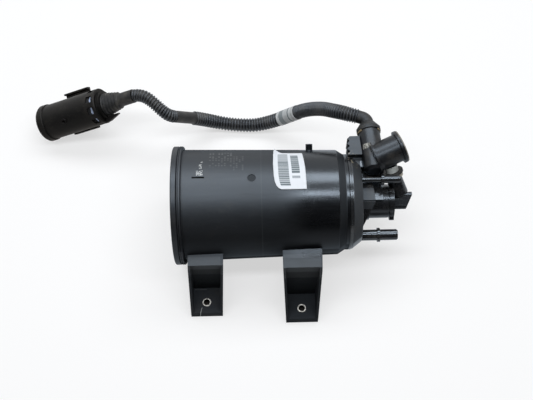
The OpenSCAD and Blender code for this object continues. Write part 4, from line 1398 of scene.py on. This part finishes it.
@dataclass
class PaperLabel:
    """The paper label on the shell, with a curled left edge, a peeled corner and a rounded one."""

    axis_back: float = 96.3
    axis_height: float = 64.5
    shell_x: Span = (-71.9, 91.5)
    shell_r: Span = (60.3, 56.5)
    bottom: float = 80.2
    top: float = 132.0
    left_edge: tuple[Span, ...] = (
        (0.0, 31.9), (0.03, 28.9), (0.08, 26.8), (0.16, 25.2), (0.3, 24.2), (0.6, 23.8), (0.9, 24.3),
        (1.0, 25.4),
    )
    right_edge: tuple[Span, ...] = ((0.0, 58.0), (0.5, 57.2), (1.0, 54.8))
    columns: int = 40
    rows: int = 64
    paper: float = 0.15
    glue: float = 0.16
    curl: Span = (0.9, 0.06)
    curl_least: float = 0.35
    curl_up: float = 1.05
    peel: float = 5.0
    peel_reach: Span = (0.3, 0.16)
    peel_power: float = 1.5
    wave: float = 0.07
    wave_turns: Span = (9.0, 5.0)
    hem: Span = (0.7, 0.05)
    printed: tuple[Bars, ...] = (
        Bars((0.15, 0.48), (0.07, 0.68), 24.0, ground=0.35),
        Bars((0.15, 0.48), (0.68, 0.94), 24.0, 0.55, 0.8),
        Bars((0.57, 0.82), (0.23, 0.30), 17.0),
        Bars((0.57, 0.82), (0.35, 0.89), 17.0, ground=0.45),
    )

    def _lift(self, across: float, up: float) -> float:
        """Height of the paper above the shell.

        Args:
            across: Share from the left edge to the right one.
            up: Share from the lower edge to the upper one.

        Returns:
            The height, in millimetres.
        """
        bulge = math.sin(math.pi * min(1.0, up * self.curl_up)) ** 2
        curl = self.curl[0] * math.exp(-across / self.curl[1])
        curl *= self.curl_least + (1 - self.curl_least) * bulge
        peel = max(0.0, 1 - across / self.peel_reach[0] - (1 - up) / self.peel_reach[1])
        waves = self.wave * math.sin(self.wave_turns[0] * across + self.wave_turns[1] * up)
        hem = self.hem[0] * math.exp(-up / self.hem[1])
        return self.glue + curl + hem + self.peel * peel ** self.peel_power + max(0.0, waves)

    def _point(self, across: float, up: float, extra: float) -> Vector:
        """A point of the paper.

        Args:
            across: Share from the left edge to the right one.
            up: Share from the lower edge to the upper one.
            extra: Further height above the shell, in millimetres.

        Returns:
            The point, in metres.
        """
        left, right = (np.interp(up, *zip(*edge)) for edge in (self.left_edge, self.right_edge))
        x = left + (right - left) * across
        radius = np.interp(x, self.shell_x, self.shell_r) + self._lift(across, up) + extra
        angle = math.radians(self.bottom + (self.top - self.bottom) * up)
        back, height = radius * math.cos(angle), radius * math.sin(angle)
        return millimetres(x, self.axis_back - back, self.axis_height + height)

    def build(self) -> Piece:
        """Builds the label as a thin closed sheet.

        Returns:
            The label.
        """
        maker = MeshMaker()
        wide, high = self.columns + 1, self.rows + 1
        for extra in (self.paper, 0.0):
            for j in range(high):
                for i in range(wide):
                    across, up = i / self.columns, j / self.rows
                    maker.point(self._point(across, up, extra), (across, up))
        under = wide * high
        for j in range(self.rows):
            for i in range(self.columns):
                a = j * wide + i
                maker.faces.append((a, a + 1, a + wide + 1, a + wide))
                maker.faces.append((under + a + wide, under + a + wide + 1, under + a + 1, under + a))
        rim = [*range(wide), *(j * wide + self.columns for j in range(1, high))]
        rim += [self.rows * wide + i for i in range(self.columns - 1, -1, -1)]
        rim += [j * wide for j in range(self.rows - 1, 0, -1)]
        for a, b in zip(rim, rim[1:] + rim[:1]):
            maker.faces.append((under + a, under + b, b, a))
        label = maker.make("shell_label", PrintedPaper("label_paper", self.printed).make())
        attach(label, Rides.CANISTER.value)
        return label


@dataclass
class CanisterBody(Assembly):
    """Shell, end cap, head, foot sleeves and label."""

    finishes: Dressing = (
        (
            ShellPlastic(
                "shell_plastic", (0.013, 0.0135, 0.015), roughness=0.5, dust=0.12, specular=0.81, shade_metal=0.8,
                patches=(((0.099, 0.134, 0.102), 0.009), ((0.104, 0.129, 0.106), 0.008)),
            ),
            ("canister_shell",),
        ),
        (MouldedPlastic("cap_plastic", (0.010, 0.0105, 0.012), dust=0.12, specular=0.7), ("end_cap",)),
        (
            HeadPlastic(
                "head_plastic", (0.012, 0.0122, 0.013), roughness=0.19, dust=0.22, dust_cells=70.0,
                grain=0.000012, specular=0.95,
                patches=(
                    ((0.106, 0.128, 0.107), 0.010), ((0.112, 0.122, 0.108), 0.008),
                    ((0.125, 0.110, 0.098), 0.008),
                ),
            ),
            ("port_head",),
        ),
        (SleeveSteel("sleeve_steel", BOLTS), ("foot_sleeves",)),
    )

    def build(self, nodes: Nodes) -> list[Piece]:
        """Dresses the body's CAD pieces and adds the label."""
        self.dress(nodes)
        return [PaperLabel().build()]


@dataclass
class CarbonBed(Assembly):
    """What the shell holds: carbon, pads, grid, plate, spring and return tube."""

    finishes: Dressing = (
        (GranularFill("carbon_pellets", (0.02, 0.02, 0.02), (0.004, 0.004, 0.004), 420.0), ("charcoal_bed",)),
        (GranularFill("open_foam", (0.30, 0.31, 0.31), (0.1, 0.1, 0.1), 1300.0), ("head_pad", "cap_pad")),
        (
            MouldedPlastic("inner_plastic", (0.03, 0.03, 0.032), roughness=0.45, dust=0.0),
            ("support_grid", "retainer_plate", "return_tube"),
        ),
        (PlainMetal("spring_wire", (0.55, 0.55, 0.55), roughness=0.3, stain=0.1), ("bed_spring",)),
    )


@dataclass
class VentValve(Assembly):
    """The vent valve with its coil, plunger, return spring and cable connector."""

    finishes: Dressing = (
        (
            MouldedPlastic(
                "valve_plastic", (0.010, 0.010, 0.011), roughness=0.24, dust=0.15, dust_cells=80.0,
                grain=0.000015, specular=0.8,
            ),
            ("valve_housing", "valve_cap"),
        ),
        (SealRubber("ring_rubber"), ("valve_o_ring", "plunger_seal", "tee_o_ring", "outlet_seal")),
        (
            PlainMetal("magnet_steel", (0.52, 0.52, 0.52), stain=0.15),
            ("pole_core", "coil_frame", "plunger"),
        ),
        (SoiledPlastic("bobbin_nylon", (0.60, 0.57, 0.50), dirt=0.1), ("coil_bobbin",)),
        (PlainMetal("coil_copper", (0.55, 0.24, 0.10), stain=0.1), ("coil_winding",)),
        (PlainMetal("contact_brass", (0.62, 0.50, 0.24), roughness=0.3, stain=0.1), ("terminals",)),
        (SoiledPlastic("outlet_white", (0.48, 0.44, 0.36), dirt=0.9), ("outlet_ring",)),
        (SoiledPlastic("sleeve_pale", (0.58, 0.60, 0.57), dirt=0.22), ("outlet_sleeve",)),
    )
    joint: str = "plunger_slide"
    spring_node: str = "return_spring"
    spring_wire: PlainMetal = PlainMetal("return_wire", (0.55, 0.55, 0.55), roughness=0.3, stain=0.1)
    spring_r: float = 3.5 * MM
    wire_r: float = 0.4 * MM
    turns: int = 5
    steps: int = 24
    sides: int = 10

    def build(self, nodes: Nodes, travel: float) -> list[Piece]:
        """Dresses the valve's CAD pieces and adds the return spring.

        Args:
            nodes: The CAD nodes.
            travel: The plunger's travel, in metres; not used.

        Returns:
            The new pieces.
        """
        self.dress(nodes)
        low, high = (Vector(corner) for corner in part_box(self.spring_node))
        spring = self._spring(low, high)
        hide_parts(self.spring_node)
        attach(spring, Rides.CANISTER.value)
        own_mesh(spring)
        return [spring]

    def _spring(self, low: Vector, high: Vector) -> Piece:
        """The return spring's wire, wound along X in a box.

        Args:
            low: The box's lower corner.
            high: Its upper corner.

        Returns:
            The spring.
        """
        middle = (low + high) / 2
        along = Vector((self.wire_r, 0, 0))
        run = high.x - low.x - 2 * self.wire_r
        count = self.turns * self.steps
        bends = [2 * math.pi * k / self.sides for k in range(self.sides)]
        maker = MeshMaker()
        rings = []
        for i in range(count + 1):
            turn = 2 * math.pi * i / self.steps
            out = Vector((0, math.cos(turn), math.sin(turn)))
            place = Vector((low.x + self.wire_r + run * i / count, middle.y, middle.z))
            centre, out = place + out * self.spring_r, out * self.wire_r
            rings.append(maker.ring([centre + out * math.cos(b) - along * math.sin(b) for b in bends]))
        maker.tube(rings, self.sides)
        return maker.make("return_spring_wire", self.spring_wire.make())


@dataclass
class VentTee(Assembly):
    """The vent tee, its gasket and the quick connector on its run."""

    finishes: Dressing = (
        (
            TeePlastic("tee_plastic", (0.009, 0.009, 0.010), roughness=0.34, dust=0.3, dust_cells=60.0),
            ("vent_tee",),
        ),
        (SoiledPlastic("gasket_grey", (0.22, 0.21, 0.18), dirt=0.7), ("port_gasket",)),
        (
            MouldedPlastic(
                "collar_plastic", (0.016, 0.015, 0.014), roughness=0.55, dust=0.8,
                dust_colour=(0.12, 0.105, 0.085), dust_cells=120.0,
            ),
            ("hose_elbow",),
        ),
        (SoiledPlastic("retainer_tan", (0.30, 0.23, 0.13), dirt=0.85), ("collar_retainer",)),
    )


@dataclass(frozen=True)
class Lamp:
    """One soft rectangular lamp."""

    name: str
    spot: Point
    aim: Point
    size: Span
    power: float
    colour: Colour = (0.91, 0.95, 1.0)

    def build(self) -> None:
        """Adds the lamp to the scene."""
        data = bpy.data.lights.new(self.name, "AREA")
        data.shape = "RECTANGLE"
        data.size, data.size_y = self.size
        data.energy = self.power
        data.color = self.colour
        made = bpy.data.objects.new(self.name, data)
        made.location = self.spot
        made.rotation_mode = "QUATERNION"
        made.rotation_quaternion = (Vector(self.aim) - Vector(self.spot)).to_track_quat("-Z", "Y")
        bpy.context.scene.collection.objects.link(made)


@dataclass
class Studio:
    """Floor, world, lamps and the camera at the photograph's angle."""

    focal_px: float = 973.0
    image_width: float = 533.0
    sensor: float = 36.0
    clip: Span = (0.01, 50.0)
    eye: Point = (0.01619, -0.32924, 1.02988)
    elevation: float = 66.0
    roll: float = 1.33
    floor_size: float = 8.0
    floor_drop: float = 0.0004
    floor_colour: Colour = (0.94, 0.92, 0.90)
    floor_rough: float = 0.9
    floor_glow: float = 0.62
    glow_reach: Span = (0.6, 2.4)
    shade_colour: Colour = (0.03, 0.027, 0.024)
    bolt_r: float = 0.0046
    white: Colour = (1.0, 1.0, 1.0)
    ambient: float = 0.06
    backdrop: float = 0.75
    backdrop_step: Span = (-0.05, 0.35)
    dark_side: float = 0.03
    background: float = 1.0
    lamps: tuple[Lamp, ...] = (
        Lamp("near_strip", (0.0, -0.02, 1.5), (0.0, 0.1, 0.06), (2.2, 0.19), 15.5),
        Lamp("far_strip", (0.0, 0.98, 1.54), (0.0, 0.1, 0.06), (2.2, 0.62), 24.0),
    )

    def camera(self) -> None:
        """Places the camera."""
        lens = bpy.data.cameras.new("photo_camera")
        lens.sensor_fit = "HORIZONTAL"
        lens.sensor_width = self.sensor
        lens.lens = self.sensor * self.focal_px / self.image_width
        lens.clip_start, lens.clip_end = self.clip
        made = bpy.data.objects.new("photo_camera", lens)
        tilt, roll = math.radians(self.elevation), math.radians(self.roll)
        back = Vector((0, -math.cos(tilt), math.sin(tilt)))
        level_right, level_up = Vector((1, 0, 0)), Vector((0, math.sin(tilt), math.cos(tilt)))
        right = level_right * math.cos(roll) - level_up * math.sin(roll)
        up = level_right * math.sin(roll) + level_up * math.cos(roll)
        turn = Matrix((right, up, back)).transposed()
        made.matrix_world = Matrix.Translation(self.eye) @ turn.to_4x4()
        bpy.context.scene.collection.objects.link(made)
        bpy.context.scene.camera = made

    def floor(self) -> None:
        """Makes the pale floor, seen as near white with the object's shadow on it."""
        maker = MeshMaker()
        half = self.floor_size / 2
        ends = ((-half, -half), (half, -half), (half, half), (-half, half))
        first = maker.ring([Vector((x, y, -self.floor_drop)) for x, y in ends])
        maker.cap(first, len(ends), False)
        shader = Shader("floor_paint")
        x, y, _ = shader.split(shader.place())
        clear: Number = 1.0
        for bolt in BOLTS:
            clear = x.apart(y, *bolt).over(self.bolt_r) * clear
        colour = shader.mix(clear, self.shade_colour, self.floor_colour)
        shader.finish(Base_Color=colour, Roughness=self.floor_rough, Specular_IOR_Level=0.0)
        glow = x.apart(y, 0.0, 0.0).rise(*self.glow_reach) * (1 - self.floor_glow) + self.floor_glow
        share = seen_by(shader, "Camera", "Glossy", "Transmission") * clear * glow
        white = shader.node("ShaderNodeEmission", None, {"Color": self.white, "Strength": 1.0})
        inputs = {0: share, 1: Sock(shader, shader.principled.outputs[0]), 2: white}
        shader.feed(shader.output.inputs[0], shader.node("ShaderNodeMixShader", None, inputs))
        maker.make("studio_floor", shader.material, smooth=False)

    def world(self) -> None:
        """Sets a plain surround: pale to the camera, and in reflections pale behind and dark in front."""
        surround = Surround("studio_world")
        _, back, _ = surround.split(surround.direction())
        mirrored = back.rise(*self.backdrop_step) * (self.backdrop - self.dark_side) + self.dark_side
        camera, shiny = seen_by(surround, "Camera"), seen_by(surround, "Glossy", "Transmission")
        strength = camera * self.background + (1 - camera) * (shiny * mirrored + (1 - shiny) * self.ambient)
        surround.feed(surround.background.inputs["Color"], self.white)
        surround.feed(surround.background.inputs["Strength"], strength)
        bpy.context.scene.world = surround.world

    def build(self) -> None:
        """Builds the whole studio."""
        bpy.context.scene.view_settings.view_transform = "Standard"
        self.camera()
        self.floor()
        self.world()
        for lamp in self.lamps:
            lamp.build()


def main() -> None:
    """Builds the scene in order and reports each piece."""
    logging.basicConfig(level=logging.INFO, format="%(name)s: %(message)s")
    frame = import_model()
    nodes = frame["nodes"]
    Studio().build()
    air_filter = AirFilter()
    air_filter.dress(nodes)
    pieces = VentHose().build(air_filter, nodes)
    pieces += CanisterBody().build(nodes)
    CarbonBed().dress(nodes)
    joint = frame["record"]["behaviour"]["joints"][0]
    pieces += VentValve().build(nodes, joint["range_m"][1])
    VentTee().dress(nodes)
    for piece in pieces:
        LOG.info("made %s with %d faces", piece.name, len(piece.data.polygons))


if __name__ == "__main__":
    main()
